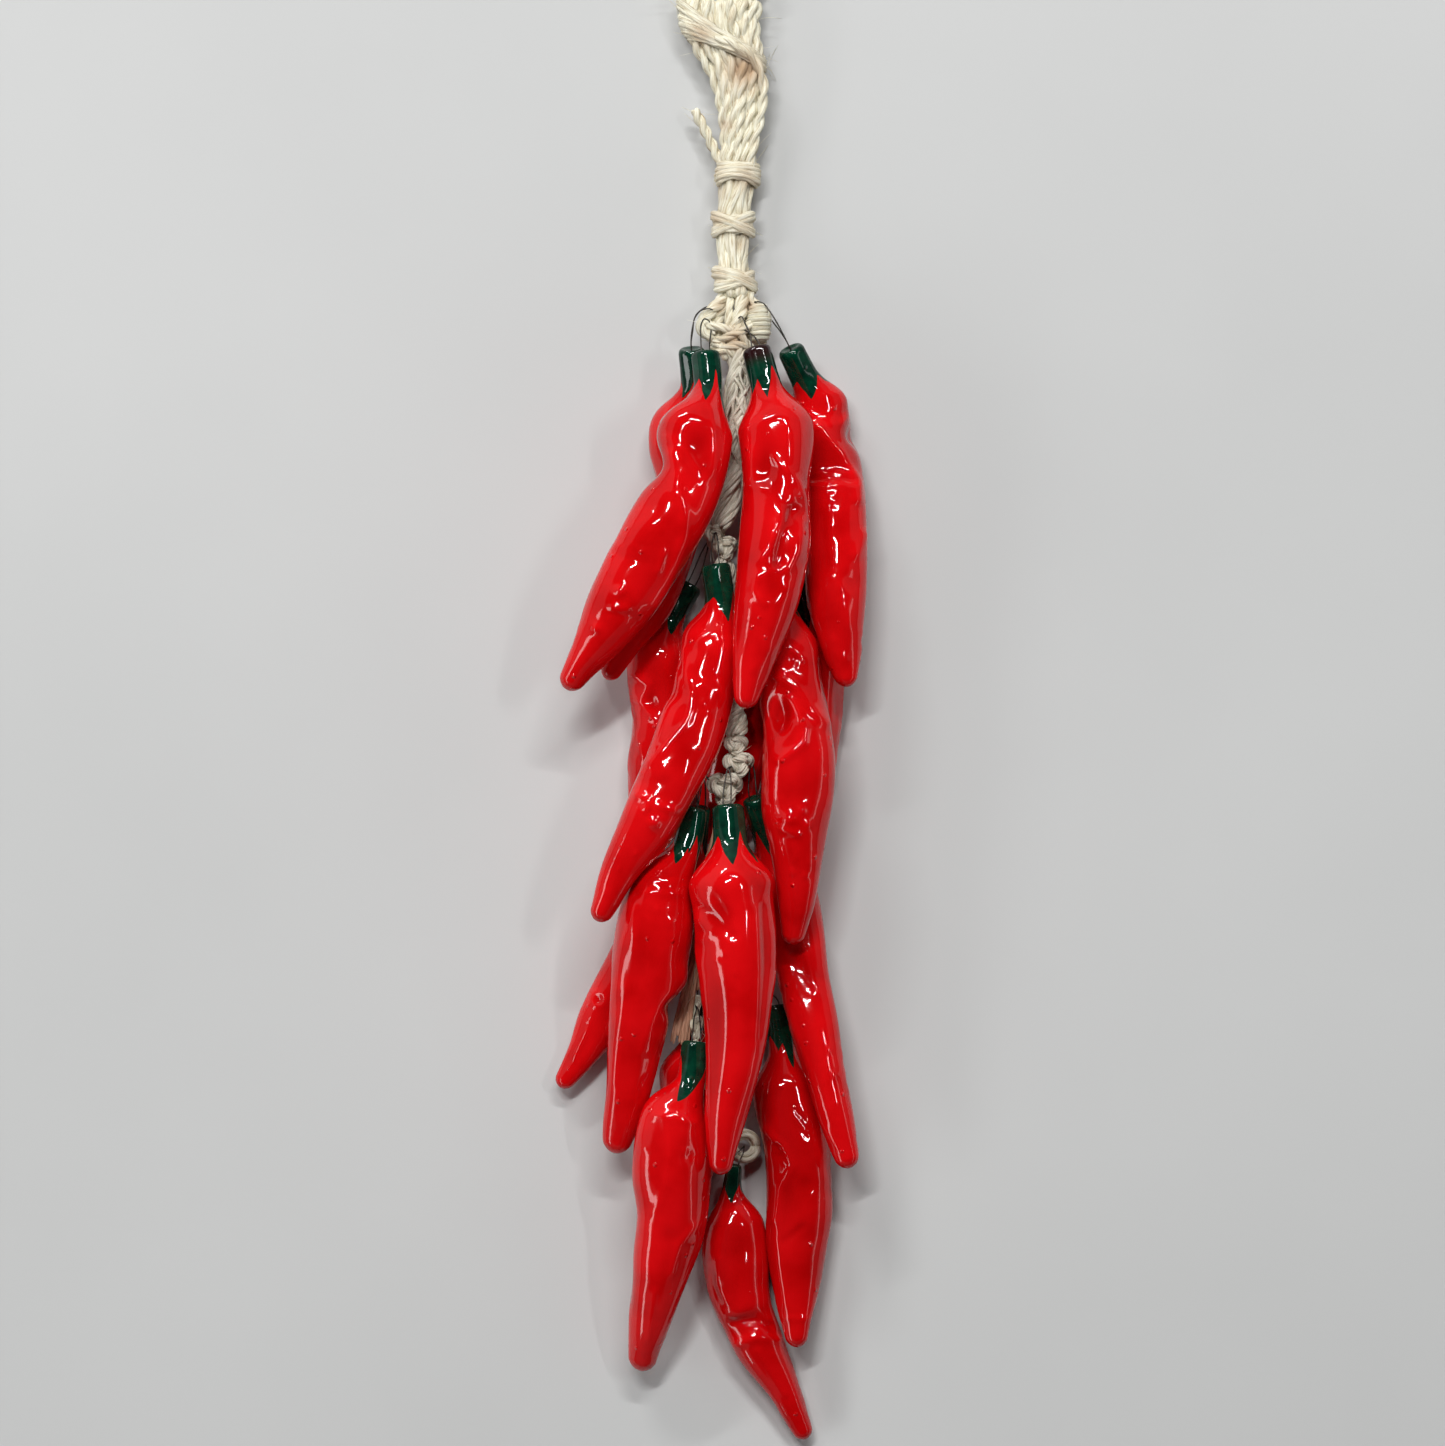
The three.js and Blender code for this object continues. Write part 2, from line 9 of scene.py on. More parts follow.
import bpy
import numpy as np
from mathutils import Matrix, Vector


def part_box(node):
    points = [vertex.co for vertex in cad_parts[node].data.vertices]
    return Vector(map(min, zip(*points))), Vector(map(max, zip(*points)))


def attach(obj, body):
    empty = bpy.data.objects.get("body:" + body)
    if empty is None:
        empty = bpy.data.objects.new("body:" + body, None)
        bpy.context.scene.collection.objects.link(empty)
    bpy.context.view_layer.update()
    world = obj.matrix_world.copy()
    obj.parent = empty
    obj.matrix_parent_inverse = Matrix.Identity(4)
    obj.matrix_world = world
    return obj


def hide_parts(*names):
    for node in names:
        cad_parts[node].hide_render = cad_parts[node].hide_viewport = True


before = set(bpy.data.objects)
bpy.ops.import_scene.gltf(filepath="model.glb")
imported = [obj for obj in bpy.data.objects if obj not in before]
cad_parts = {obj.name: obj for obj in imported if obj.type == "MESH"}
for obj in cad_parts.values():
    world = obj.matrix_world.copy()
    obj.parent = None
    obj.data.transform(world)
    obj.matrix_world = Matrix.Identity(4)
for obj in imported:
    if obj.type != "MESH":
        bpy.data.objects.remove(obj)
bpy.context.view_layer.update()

MM = 0.001
REST_LEVEL = 1.6                 # the pods' flat spots, on which the string lies
POD_FLATNESS = 0.88              # front-to-back thickness of a pod over its width
WIRE_RADIUS = 0.3
WIRE_LEG_SPACING = 3.4

# Stations of a pod are [x, y, half-width] from the stem's top to the tip. "depth" gives the
# axis's height at the stem top, shoulder, lower station and tip. A dent is [place along,
# degrees from the front, length, width, depth]. "bend" is where its wire bends in the rope.
# "calyx" is the painted edge of the green, as [degrees from the front, distance below the
# stem's top]: points of green and of red in turn. "stain" is the share of brown on the stem's
# top, and "dark" painted shade: a darker red on a pod that lies under the others, as the depth
# of a dent that would give it.
DEPTH_STATIONS = [0, 2, 5, 7]
PLAIN_CALYX = [[-150, 22], [-112, 12], [-75, 21], [-38, 12], [-5, 23], [32, 12], [68, 21],
               [105, 12], [142, 22], [176, 12]]
PODS = {
    "1_left_back": {
        "depth": [24, 13, 25, 30], "bend": [-9, 174, 15],
        "stations": [[-13, 156, 5.5], [-12, 141, 5.5], [-16, 121, 14.5], [-16, 97, 13],
                     [-24, 74, 12.5], [-32, 51, 11], [-42, 31, 6.5], [-48, 18, 3.5]],
        "dents": [[0.38, -70, 9, 9, 1.5]],
        "calyx": [[-80, 11], [-35, 20], [5, 11], [45, 20], [90, 11], [135, 20], [180, 11],
                  [225, 20]],
    },
    "1_right": {
        "depth": [26, 13, 26, 32], "bend": [21, 174, 17],
        "stations": [[28, 156, 5.5], [35, 141, 6], [40, 122, 14.5], [45, 101, 14],
                     [46, 78, 13.5], [47, 55, 13], [50, 29, 8], [52, 15, 3.5]],
        "dents": [[0.165, 85, 7, 9, -5.5], [0.295, 85, 4.5, 9, 2.8], [0.38, 15, 4, 12, 1.6],
                  [0.62, -20, 12, 5, 1.2]],
        "calyx": [[-130, 11], [-80, 16], [-37, 12.5], [0, 20], [58, 13.5], [100, 20], [140, 11],
                  [180, 20]],
    },
    "1_left": {
        "depth": [34, 42, 49, 42], "bend": [-4.5, 167.5, 25.6],
        "stations": [[-7, 154, 6], [-6, 141, 6], [-12, 121, 16], [-15, 101, 15],
                     [-25, 79, 15.5], [-38, 57, 14.5], [-52, 34, 9.5], [-65, 14, 4.5]],
        "dents": [[0.17, -80, 8, 8, 3.5], [0.33, -95, 10, 11, 5.5], [0.29, 8, 12, 7, 1.4],
                  [0.46, -20, 9, 10, 0.9], [0.27, 90, 12, 9, -1.6], [0.6, -25, 7, 9, 0.7]],
        "calyx": [[-130, 10], [-82, 21], [-42, 12], [3, 23], [34, 9], [66, 26], [100, 10],
                  [150, 21], [195, 11]],
    },
    "1_centre": {
        "depth": [32, 39, 51, 54], "bend": [12.5, 170.5, 26.6], "stain": 0.85,
        "stations": [[14, 156, 6], [18, 140, 6.5], [22, 122, 15.5], [23, 99, 14],
                     [22, 78, 15], [19, 57, 14], [13, 28, 9], [9, 6, 4]],
        "dents": [[0.35, -20, 10, 6, 2], [0.47, 45, 6, 9, 1.6], [0.59, 12, 9, 6, 1.8]],
        "calyx": [[-130, 20], [-100, 11], [-62, 19.5], [-26, 14.5], [-4, 23], [42, 10], [85, 21],
                  [120, 11], [150, 20], [180, 11], [205, 20]],
    },
    "2_left_back": {
        "depth": [9, 12, 12, 20], "bend": [-6, 75, 18.5],
        "stations": [[-13, 58, 5], [-21, 44, 5.5], [-26, 26, 13.5], [-24, 7, 13.5],
                     [-26, -14, 13.5], [-28, -32, 11], [-32, -51, 6.5], [-36, -62, 3.5]],
        "dents": [[0.4, -30, 8, 6, 1.8], [0.5, -75, 10, 6, 1.2]],
        "calyx": [[-120, 13], [-75, 29], [-35, 14.5], [15, 24], [60, 12], [110, 22], [150, 12],
                  [195, 22]],
    },
    "2_back": {
        "depth": [8, 12, 11, 8], "bend": [4.5, 49, 14],
        "stations": [[6, 34, 5], [8, 23, 5.5], [8, 6, 13], [6, -11, 13.5],
                     [3, -28, 12.5], [1, -41, 10], [-1, -49, 5.5], [-1, -54, 3]],
        "dents": [[0.5, 20, 10, 6, 1.5]],
    },
    "2_right_back": {
        "depth": [9, 11, 12, 22], "bend": [6, 73.5, 18],
        "stations": [[30, 60, 5.5], [35, 45, 6], [38, 28, 12], [39, 8, 12],
                     [36, -13, 12], [33, -28, 10.5], [32, -42, 6.5], [31, -54, 3.5]],
        "dents": [[0.45, 60, 9, 6, 1.5]],
    },
    "2_left": {
        "depth": [36, 38, 49, 47], "bend": [-3, 79, 30.2],
        "stations": [[-3, 66, 6], [-1, 50, 6], [-4, 30, 13], [-10, 7, 13.5],
                     [-18, -15, 13.5], [-28, -36, 12.5], [-41, -59, 8.5], [-52, -82, 4]],
        "dents": [[0.178, -80, 9, 9, -2.6], [0.365, -90, 7, 8, 1.6], [0.5, 30, 12, 8, 0.9],
                  [0.62, -15, 5, 10, 0.9]],
        "calyx": [[-155, 22], [-120, 12], [-85, 18.5], [-25, 14], [28, 24], [70, 12], [115, 22],
                  [160, 12]],
    },
    "2_right": {
        "depth": [28, 33, 37, 33], "bend": [7, 74.5, 25.5],
        "stations": [[21, 62, 6], [24, 48, 6], [28, 29, 12.5], [31, 10, 13],
                     [31, -13, 15], [31, -34, 14.5], [31, -65, 9.5], [29, -92, 4]],
        "dents": [[0.26, 5, 5, 5, 1.4], [0.35, -88, 9, 7, -3], [0.385, -36, 9, 6, 2.6],
                  [0.3, 88, 9, 7, 1.4], [0.57, 40, 14, 7, 0.8], [0.6, -10, 6, 9, 1]],
    },
    "3_left_back": {
        "depth": [25, 12, 11, 10], "bend": [-8, -22, 24],
        "stations": [[-9, -35, 4.5], [-11, -50, 5], [-17, -68, 12.5], [-28, -86, 12.5],
                     [-39, -107, 12], [-50, -124, 10], [-59, -139, 6], [-68, -152, 3.5]],
        "dents": [[0.7, 10, 8, 5, 1.4]],
        "calyx": [[-105, 12], [-85, 24], [-45, 12], [-10, 22], [25, 12], [60, 19], [100, 12],
                  [150, 21], [190, 12], [228, 21]],
    },
    "3_right": {
        "depth": [26, 12, 24, 28], "bend": [12, -17, 26],
        "stations": [[13, -31, 5], [18, -47, 5.5], [25, -67, 13], [31, -89, 12],
                     [35, -110, 10.5], [39, -132, 9.5], [45, -156, 8.5], [53, -185, 4.5]],
        "dents": [[0.48, -10, 12, 6, 0.8]],
    },
    "3_left": {
        "depth": [35, 38.5, 31, 22], "bend": [-9, -22, 33],
        "stations": [[-12, -35, 5.5], [-15, -51, 6], [-25, -69, 13], [-29, -91, 16],
                     [-33, -113, 13.5], [-37, -136, 11], [-41, -161, 8.5], [-45, -179, 5]],
        "dents": [[0.4, 60, 8, 7, 1], [0.49, 85, 7, 8, -2.8], [0.565, 75, 5, 9, 2.4],
                  [0.5, -25, 12, 5, 1.2]],
        "calyx": [[-100, 26], [-70, 16], [-2, 26], [9, 17], [17, 20], [33, 11.5], [75, 22],
                  [115, 12], [160, 22], [210, 12]],
    },
    "3_centre": {
        "depth": [41, 46, 46, 44], "bend": [2.5, -19, 37.6],
        "stations": [[2, -34, 6.5], [3, -48, 7], [4, -68, 16], [6, -93, 16.5],
                     [6, -117, 14.5], [4, -140, 11.5], [1, -164, 8.5], [-1, -187, 4]],
        "dents": [[0.19, 85, 7, 9, -1.8], [0.2, -85, 7, 9, -1.6], [0.29, -22, 6, 7, 1.7],
                  [0.66, -46, 30, 6, 1.7], [0.4, 50, 16, 4, 1]],
        "calyx": [[-85, 22], [-43, 13], [3, 26], [42, 11.5], [62, 25], [100, 12], [140, 24],
                  [180, 12], [222, 23], [250, 12]],
    },
    "4_left_back": {
        "depth": [6, 10.5, 8, 6], "bend": [-9.5, -106, 14], "dents": [],
        "stations": [[-9, -116, 5], [-11, -130, 5], [-13, -147, 13], [-13, -165, 12],
                     [-13, -184, 10], [-16, -200, 7.5], [-18, -213, 5.5], [-20, -224, 3.5]],
    },
    "4_right": {
        "depth": [8, 13, 14, 20], "bend": [-8, -110, 15.5], "dark": 1.1,
        "stations": [[22, -118, 5.5], [25, -136, 6], [26, -153, 13.5], [31, -176, 14],
                     [32, -198, 13.5], [31, -219, 12.5], [31, -241, 8.5], [31, -260, 4]],
        "dents": [[0.42, -35, 5, 4, 1], [0.67, 20, 5, 9, 0.9], [0.55, -25, 12, 4, 0.8],
                  [0.62, 88, 12, 9, -1.2]],
        "calyx": [[-95, 22], [-50, 12], [-15, 20], [4, 16], [25, 27], [65, 12], [110, 22],
                  [155, 12], [195, 22], [230, 12]],
    },
    "4_left": {
        "depth": [34, 36, 29, 14], "bend": [-10.5, -119, 23.4],
        "stations": [[-11, -132, 5.5], [-13, -148, 6], [-20, -165, 14], [-21, -185, 16],
                     [-21, -204, 14.5], [-25, -225, 12.5], [-30, -247, 9], [-34, -270, 5.5]],
        "dents": [[0.33, 28, 6, 6, 0.9], [0.66, 45, 12, 7, 1.1]],
        "calyx": [[-140, 10], [-112, 20], [-78, 6], [-10, 27], [60, 10.5], [100, 24], [140, 10],
                  [185, 24]],
    },
    "end": {
        "depth": [16, 11, 10, 8], "bend": [8.6, -177.5, 13.4], "dark": 0.9,
        "stations": [[5, -184, 3], [4, -194, 4], [5, -209, 12], [5, -224, 13.5],
                     [8, -241, 12], [16, -260, 10.5], [26, -278, 7], [35, -299, 3.5]],
        "dents": [[0.54, -10, 4, 12, 2.2], [0.4, -50, 9, 4, 1.2]],
        "calyx": [[-100, 13], [-60, 8], [-5, 14.5], [50, 7], [100, 14], [140, 7], [185, 14],
                  [222, 8]],
    },
}

# Marks in the skin of a pod's front: [width, height, (x, y), (x, y), ...] is a ridge, or a crease
# where the height is negative, [width, height, (x, y)] a bump or pit, and
# [width, height, (x, y), radius] a raised ring.
MARKS = {
    "1_left": [
        [1.3, 0.4, (-4.4, 130), (-3.5, 122), (-3.2, 112), (-4, 103), (-8, 99.5)],
        [1.6, 0.6, (-22.5, 118), (-15, 112), (-10, 104)],
        [2.6, 0.9, (-21, 111), (-18.6, 103), (-19, 96)],
        [2.4, 1, (-17.6, 93), (-15.3, 86), (-15.5, 76), (-19, 65.5), (-23.5, 55), (-28, 49)],
        [5, 0.7, (-27.5, 83.5)], [5, -0.8, (-9, 114)],
        [1.6, -0.35, (-46, 71), (-38, 68), (-31, 66)],
        [1.3, 0.3, (-47, 68), (-45, 73), (-38, 74), (-33, 71)], [1.4, 0.6, (-24, 70), (-26, 63)],
        [2.2, 1.5, (-42, 54.5)], [1.6, 1, (-45, 47.5), (-39.5, 47)], [1.8, 1.2, (-52.2, 38.8)],
        [1.2, 0.4, (-47, 43)], [2, -0.4, (-38, 45), (-34, 37)],
    ],
    "1_centre": [
        [4.5, -1.1, (17, 103)], [1.5, 0.45, (12, 113), (11.5, 98), (19, 97)],
        [1.6, 0.45, (27, 122.5)], [1.7, 0.8, (21, 110), (27, 104), (32, 99), (35, 92), (36, 84)],
        [3, -0.9, (22, 97), (28, 89), (30, 80)],
        [2.4, -1.5, (30, 88), (27, 82), (24.7, 74), (23, 66)],
        [2, 0.9, (33.4, 84), (32.2, 76), (31, 70), (27, 64)],
        [1.6, 0.6, (22, 80), (20, 73), (16, 68)], [4, -0.9, (21, 55)],
        [1.8, 0.8, (14.5, 61), (13, 54.5), (17, 49)], [1.4, 0.4, (17.6, 61.5), (25, 64.5)],
        [1.6, 0.3, (27, 56)], [2, -0.3, (15, 40), (16, 28)],
        [1.8, 0.3, (20, 30)], [1.8, 0.3, (12, 22)],
    ],
    "1_right": [
        [1.4, 0.5, (41.5, 137), (49.5, 137), (53.5, 131), (50.5, 125)],
        [1.8, 1.2, (39.7, 124), (43.8, 119), (50, 112.5), (54.2, 106), (56.3, 100), (55.8, 92.6)],
        [6, -1.8, (43.5, 111)], [1.4, -0.9, (36, 101.5), (46, 102.5), (55, 101)],
        [1.5, 0.4, (37, 99), (54, 98.5)], [0.8, 0.35, (45.5, 97), 2.4],
        [3, 0.7, (45, 87), (45.5, 82)], [1.8, -0.5, (42, 86), (42, 74), (44, 64)],
        [2.4, 0.6, (46, 62), (49, 56)], [2.4, 0.5, (50, 49), (52, 42)],
        [2.2, 1.1, (58, 78), (55.5, 70)], [4, -0.8, (54, 59)],
        [1.8, 0.35, (46, 34)], [1.8, 0.35, (50.5, 27)],
    ],
    "2_left_back": [
        [1.8, 1, (-37, 20), (-31, 16), (-34, 9), (-27, 0.5)],
        [4, -1, (-34, 28)], [2.5, -0.8, (-30, 8)], [1.2, 0.4, (-36, -4), (-33, -14)],
    ],
    "2_left": [
        [2, 0.4, (-10, 34), (-3, 38)],
        [1.8, 0.9, (-16, 30), (-15, 20), (-12.7, 13), (-12.7, 6), (-15, 0), (-21, -7), (-30, -17)],
        [4, -1.1, (-19, 13)], [1.8, 0.45, (-8.5, 16)], [1.6, 0.45, (-8, 8.5)],
        [1.6, 0.4, (-6, 5)], [1.6, 0.4, (-2, 18), (2, 10)], [4, -0.3, (-12, -9.5)],
        [2.5, -0.4, (-36, -23), (-24, -24)], [1.7, 1, (-35, -30), (-30.5, -31.5), (-31, -35.5)],
        [1.7, 0.9, (-26, -34), (-20, -36)], [2.6, 1.7, (-28.5, -41)],
        [1.2, 0.4, (-36, -54)], [1.2, 0.4, (-43, -60)],
    ],
    "2_right": [
        [1.2, 0.5, (29, 30.5), (33, 28), (32, 23)], [2.4, -0.8, (30, 27)],
        [2.2, 1, (19, 20), (27, 18), (33.4, 11), (37, 5.5), (43, 0)],
        [1.9, 1.2, (28, 10), (31, 5), (34, -2), (33.5, -8), (29.5, -11.5), (23.5, -15.5)],
        [5, -1.4, (24, 2)], [3.5, -0.25, (39, -8), (35.5, -18), (35, -32), (36, -42)],
        [2.8, 1.6, (27.4, -40.2)], [1.7, 0.9, (25, -44), (31, -46)],
        [1.8, 0.8, (35.5, -42)], [1.8, 0.8, (33, -36)],
        [1.3, 0.5, (29, -62)], [1.3, 0.5, (34, -63)],
    ],
    "3_left_back": [
        [1, 0.6, (-52, -115), 2.6], [2.2, -0.8, (-52, -115)],
        [1.2, 0.4, (-57, -128), (-62, -139)],
    ],
    "3_left": [
        [4, -0.45, (-37.6, -91), (-40.5, -104)],
        [2.2, -0.3, (-35, -70), (-34, -84), (-33, -104)],
        [2, 0.3, (-38, -72), (-37, -90), (-39, -112), (-44, -131), (-45.5, -149)],
        [2, 0.5, (-22, -112), (-29, -122), (-33.5, -136)],
        [3, -0.5, (-26, -126)], [1.6, 0.4, (-30, -64), (-22, -66)],
        [1.5, 0.5, (-32, -70), (-19, -70.5)], [2, -0.4, (-31, -140), (-34, -156)],
        [1.2, 0.35, (-27, -77)], [1.2, 0.35, (-21, -82)], [1.2, 0.35, (-20, -88)],
    ],
    "3_centre": [
        [2, -0.8, (-10, -76), (-2, -82), (4, -88)], [1.6, -0.4, (-3, -72), (1, -79), (5, -87)],
        [1.8, 0.5, (-11, -81), (-5, -86), (-8, -90)],
        [1.2, 0.4, (1, -95)], [1.2, 0.4, (-2.5, -98)], [1.2, 0.35, (5, -103)],
        [1.3, 0.3, (14.5, -76), (15.5, -100), (13, -134)],
        [1.4, -0.35, (17, -76), (17.5, -100), (15, -130)],
    ],
    "3_right": [
        [8, -1, (30, -100)], [4, -0.7, (22, -90), (36, -108)],
        [1.6, 0.4, (25, -114.5), (34, -138.5), (40, -165.5), (48.5, -177)],
        [1.4, 0.5, (30, -84), (36, -98), (40, -112)],
        [1.3, 0.5, (44, -136)], [1.3, 0.5, (46.5, -146)],
    ],
    "4_left": [
        [2, -0.4, (-13, -179.5)], [4, -0.4, (-28, -167), (-28.6, -186), (-30, -199)],
        [3.5, -0.3, (-33, -215), (-34.5, -232)],
        [1.6, 0.3, (-24, -163), (-22, -176), (-24, -192), (-28, -203)],
        [1.7, 0.6, (-11, -208.5), (-18, -216.5), (-21, -228.5)],
        [4, -0.6, (-22, -213)], [1.2, 0.4, (-15, -177)], [1.2, 0.4, (-11.5, -181)],
        [1.8, 0.6, (-28, -162), (-19, -162.5), (-11, -165)], [1.2, 0.4, (-33, -176)],
        [1.2, 0.35, (-28, -236), (-31, -256)],
    ],
    "4_right": [
        [0.9, 0.3, (22.8, -176), 2.4],
        [1.8, 0.8, (17.5, -169.5), (25, -176.5), (29.5, -184), (23.5, -194), (22, -207)],
        [1.6, 0.4, (22, -207), (23.5, -225.5), (26.5, -243)],
        [1, -0.3, (29, -159), (34, -164)], [1, -0.3, (31, -162), (37, -169)],
        [1, -0.3, (30, -166), (35, -172)], [1.6, -0.5, (33.5, -209.5), (25, -215.5)],
        [1.2, 0.5, (26, -248), (35, -248)], [3.5, -0.8, (35, -192)],
    ],
    "end": [
        [3.5, 0.8, (4.6, -203.5)], [6, -0.6, (7, -220)],
        [1.4, 0.6, (-1.5, -222.5), (-2.5, -234), (2, -241)],
        [1.8, -1.4, (3.5, -250), (14.5, -248.5), (20.5, -251)],
        [2, 0.9, (6, -259), (14, -256), (24, -257)],
        [1.6, 0.5, (19.5, -228.5), (25, -243)], [1.4, 0.4, (15, -262), (26, -280)],
    ],
}

# The rope's pieces, as [x, y, height, half-width, half-thickness] along each one, without the
# last of these, or the last two, where a piece's strands don't follow them.
NECK = [
    [0, 301.5, 12.6, 17.5, 7.2], [0, 292, 12.8, 16.5, 7.4], [5.2, 275, 12.8, 12.8, 7.4],
    [7.3, 258, 12.6, 9.8, 7.2], [6.4, 229, 12.6, 7.4, 6.6], [4.4, 208, 12.6, 6.9, 6.4],
    [4.4, 192, 13.3, 6.5, 6.2], [6, 176.8, 16.6, 6.8, 6],
]
UPPER_BRAID = [
    [6, 153.4, 21.5, 6, 5.2], [6, 133, 22.5, 6, 5.2], [5, 115, 24, 5.8, 5],
    [4, 99, 25, 6, 5.2], [-0.5, 83.8, 24.5, 6, 5.2],
]
MIDDLE_BRAID = [
    [0, 66, 23.5, 5.5, 4.8], [4, 50, 20.5, 5.5, 4.8], [6, 30, 21.5, 5.5, 4.8],
    [6, 12, 28.5, 5.5, 4.8], [5.5, -3.2, 31, 5.5, 4.8],
]
LOWER_STRAND = [
    [1.5, -36, 28.5, 4.5], [-4, -57, 26, 3.5], [-8, -76, 23.5, 3.5], [-12, -94, 19, 3],
    [-12, -111, 18, 3.5],
]
TAIL_STRAND = [[-11, -132.2, 20.5], [-9, -144, 26], [-3, -156, 22.5], [3.4, -168.4, 12]]
# The loose end comes out from under the upper binding and lies along the neck at first.
LOOSE_END = [[2.5, 230, 12.5], [-2.2, 237, 11], [-6.3, 245.5, 11], [-11.8, 256, 12]]
# The loop's half-span, y and height at its feet and its crown, how full its sides are between
# them, and where a foot ends inside the neck.
LOOP_FOOT = [9, 302.3, 11]
LOOP_CROWN = [26, 366, 8.1]
LOOP_FULLNESS = [0.8, 0.85, 1]
LOOP_TUCK = [8, 296, 11.5]
LOOP_HALF_WIDTH = 6.4
# The top knot's two bunches of strands, and the coil that is wound at their right. The coil, and
# each lobe of the other knots, is [x, y, height, half-width, half-length, half-thickness].
TOP_KNOT_BUNCHES = [[-2, 165, 19.5], [6.5, 165, 19.5]]
TOP_KNOT_COIL = [15, 166, 19.5, 5, 8.5, 6.5]
KNOTS = {
    "knot_middle": [[-3.5, 78, 24, 5, 6, 5], [1, 73, 24, 5.5, 6, 5]],
    "knot_lower": [[5.5, -9, 31, 5.5, 5, 5], [6.5, -17, 31, 7, 6, 5.5], [1, -27, 29.5, 8, 8, 6]],
    "knot_tail": [[-11.5, -117.5, 18.5, 3, 6, 3], [-11, -126, 20, 3, 6, 3]],
}
END_RING = {"centre": [9, -176.5, 10], "outer": 7.3, "hole": 2.4, "thickness": 4.6}

# The ring's own box says where the string's frame lies in the row frame.
ring_low, ring_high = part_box("end_ring")
SHIFT = np.array((ring_low + ring_high) / 2) / MM - np.array(END_RING["centre"])


def to_frame(points):
    return (np.asarray(points, float) + SHIFT) * MM


# ---------------- camera and light

PHOTO_HEIGHT = 1446              # pixels
MM_PER_PIXEL = 0.41522
CAMERA_DISTANCE = 4.0
CAMERA_PLANE = 0.03              # the height above the floor at which the photo's scale holds

scene = bpy.context.scene
scene.view_settings.view_transform = "Standard"


def make_camera():
    data = bpy.data.cameras.new("camera")
    data.sensor_width = 36
    data.lens = data.sensor_width * CAMERA_DISTANCE / (PHOTO_HEIGHT * MM_PER_PIXEL * MM)
    data.clip_end = 20
    camera = bpy.data.objects.new("camera", data)
    middle = to_frame([0, 0, 0])
    camera.location = (middle[0], middle[1], CAMERA_PLANE + CAMERA_DISTANCE)
    scene.collection.objects.link(camera)
    scene.camera = camera


# Each light is [place, how far up the string it aims, length, thickness, power], in metres and
# watts. Three tubes lie across the string above its top end and one at its right. The strips
# lie along its lower half on either side.
LIGHTS = {
    "tube_near": [(-0.5, 1.05, 2.45), 0, 0.9, 0.07, 33],
    "tube_middle": [(0.35, 1.7, 2.2), 0, 1.0, 0.07, 30],
    "tube_far": [(-1.1, 2.4, 1.55), 0, 1.0, 0.08, 26],
    "tube_right": [(1.35, 0.35, 2.25), 0, 0.5, 0.07, 7],
    "strip_left": [(-1.5, -0.95, 0.85), -0.95, 1.9, 0.26, 7.5],
    "strip_right": [(1.5, -0.75, 0.8), -0.75, 1.9, 0.12, 1.2],
}
# The studio's brightness from the floor (0) to straight overhead (1): pale walls under a dark
# ceiling. The walls are brightest on the left and towards the string's top.
WALLS = [(0.04, 0.12), (0.10, 0.34), (0.56, 0.38), (0.61, 0.035)]
RIGHT_SHARE = 0.5
BOTTOM_SHARE = 0.5


def area_light(name, place, aimed_at, length, thickness, power):
    data = bpy.data.lights.new(name, "AREA")
    data.shape = "RECTANGLE"
    data.size, data.size_y = length, thickness
    data.energy = power
    light = bpy.data.objects.new(name, data)
    light.location = place
    light.rotation_mode = "QUATERNION"
    away = Vector(place) - Vector((0, aimed_at, 0))
    light.rotation_quaternion = away.to_track_quat("Z", "Y")
    scene.collection.objects.link(light)


class Tree:
    """A node tree. Each input that it sets is a number or colour, or another node's output."""

    def __init__(self, owner):
        owner.use_nodes = True
        self.nodes, self.links = owner.node_tree.nodes, owner.node_tree.links

    def set(self, node, inputs):
        for socket, value in inputs.items():
            if isinstance(value, bpy.types.NodeSocket):
                self.links.new(value, node.inputs[socket])
            else:
                node.inputs[socket].default_value = value

    def add(self, kind, inputs=None, **settings):
        node = self.nodes.new("ShaderNode" + kind)
        for setting, value in settings.items():
            setattr(node, setting, value)
        self.set(node, inputs or {})
        return node

    def place(self):
        return self.add("TexCoord").outputs["Object"]

    def attribute(self, name):
        return self.add("Attribute", attribute_name=name).outputs["Fac"]

    def noise(self, vector, scale, detail, roughness=0.5):
        inputs = {"Vector": vector, "Scale": scale, "Detail": detail, "Roughness": roughness}
        return self.add("TexNoise", inputs).outputs["Fac"]

    def ramp(self, factor, stops):
        node = self.add("ValToRGB", {"Fac": factor})
        elements = node.color_ramp.elements
        while len(elements) < len(stops):
            elements.new(0.5)
        for element, (place, colour) in zip(elements, stops):
            element.position = place
            element.color = (*colour, 1)
        return node.outputs["Color"]

    def mix(self, factor, first, second, blend="MIX"):
        first, second = [(*c, 1) if isinstance(c, tuple) else c for c in (first, second)]
        node = self.add("Mix", data_type="RGBA", blend_type=blend)
        self.set(node, {0: factor, 6: first, 7: second})
        return node.outputs[2]

    def span(self, value, low, high, to_low=0.0, to_high=1.0):
        """The value, with low to high stretched to other limits and cut off there."""
        inputs = {"Value": value, "From Min": low, "From Max": high, "To Min": to_low,
                  "To Max": to_high}
        return self.add("MapRange", inputs).outputs["Result"]

    def bump(self, height, strength, distance, under=None):
        node = self.add("Bump", {"Height": height, "Strength": strength, "Distance": distance})
        if under is not None:
            self.set(node, {"Normal": under})
        return node.outputs["Normal"]


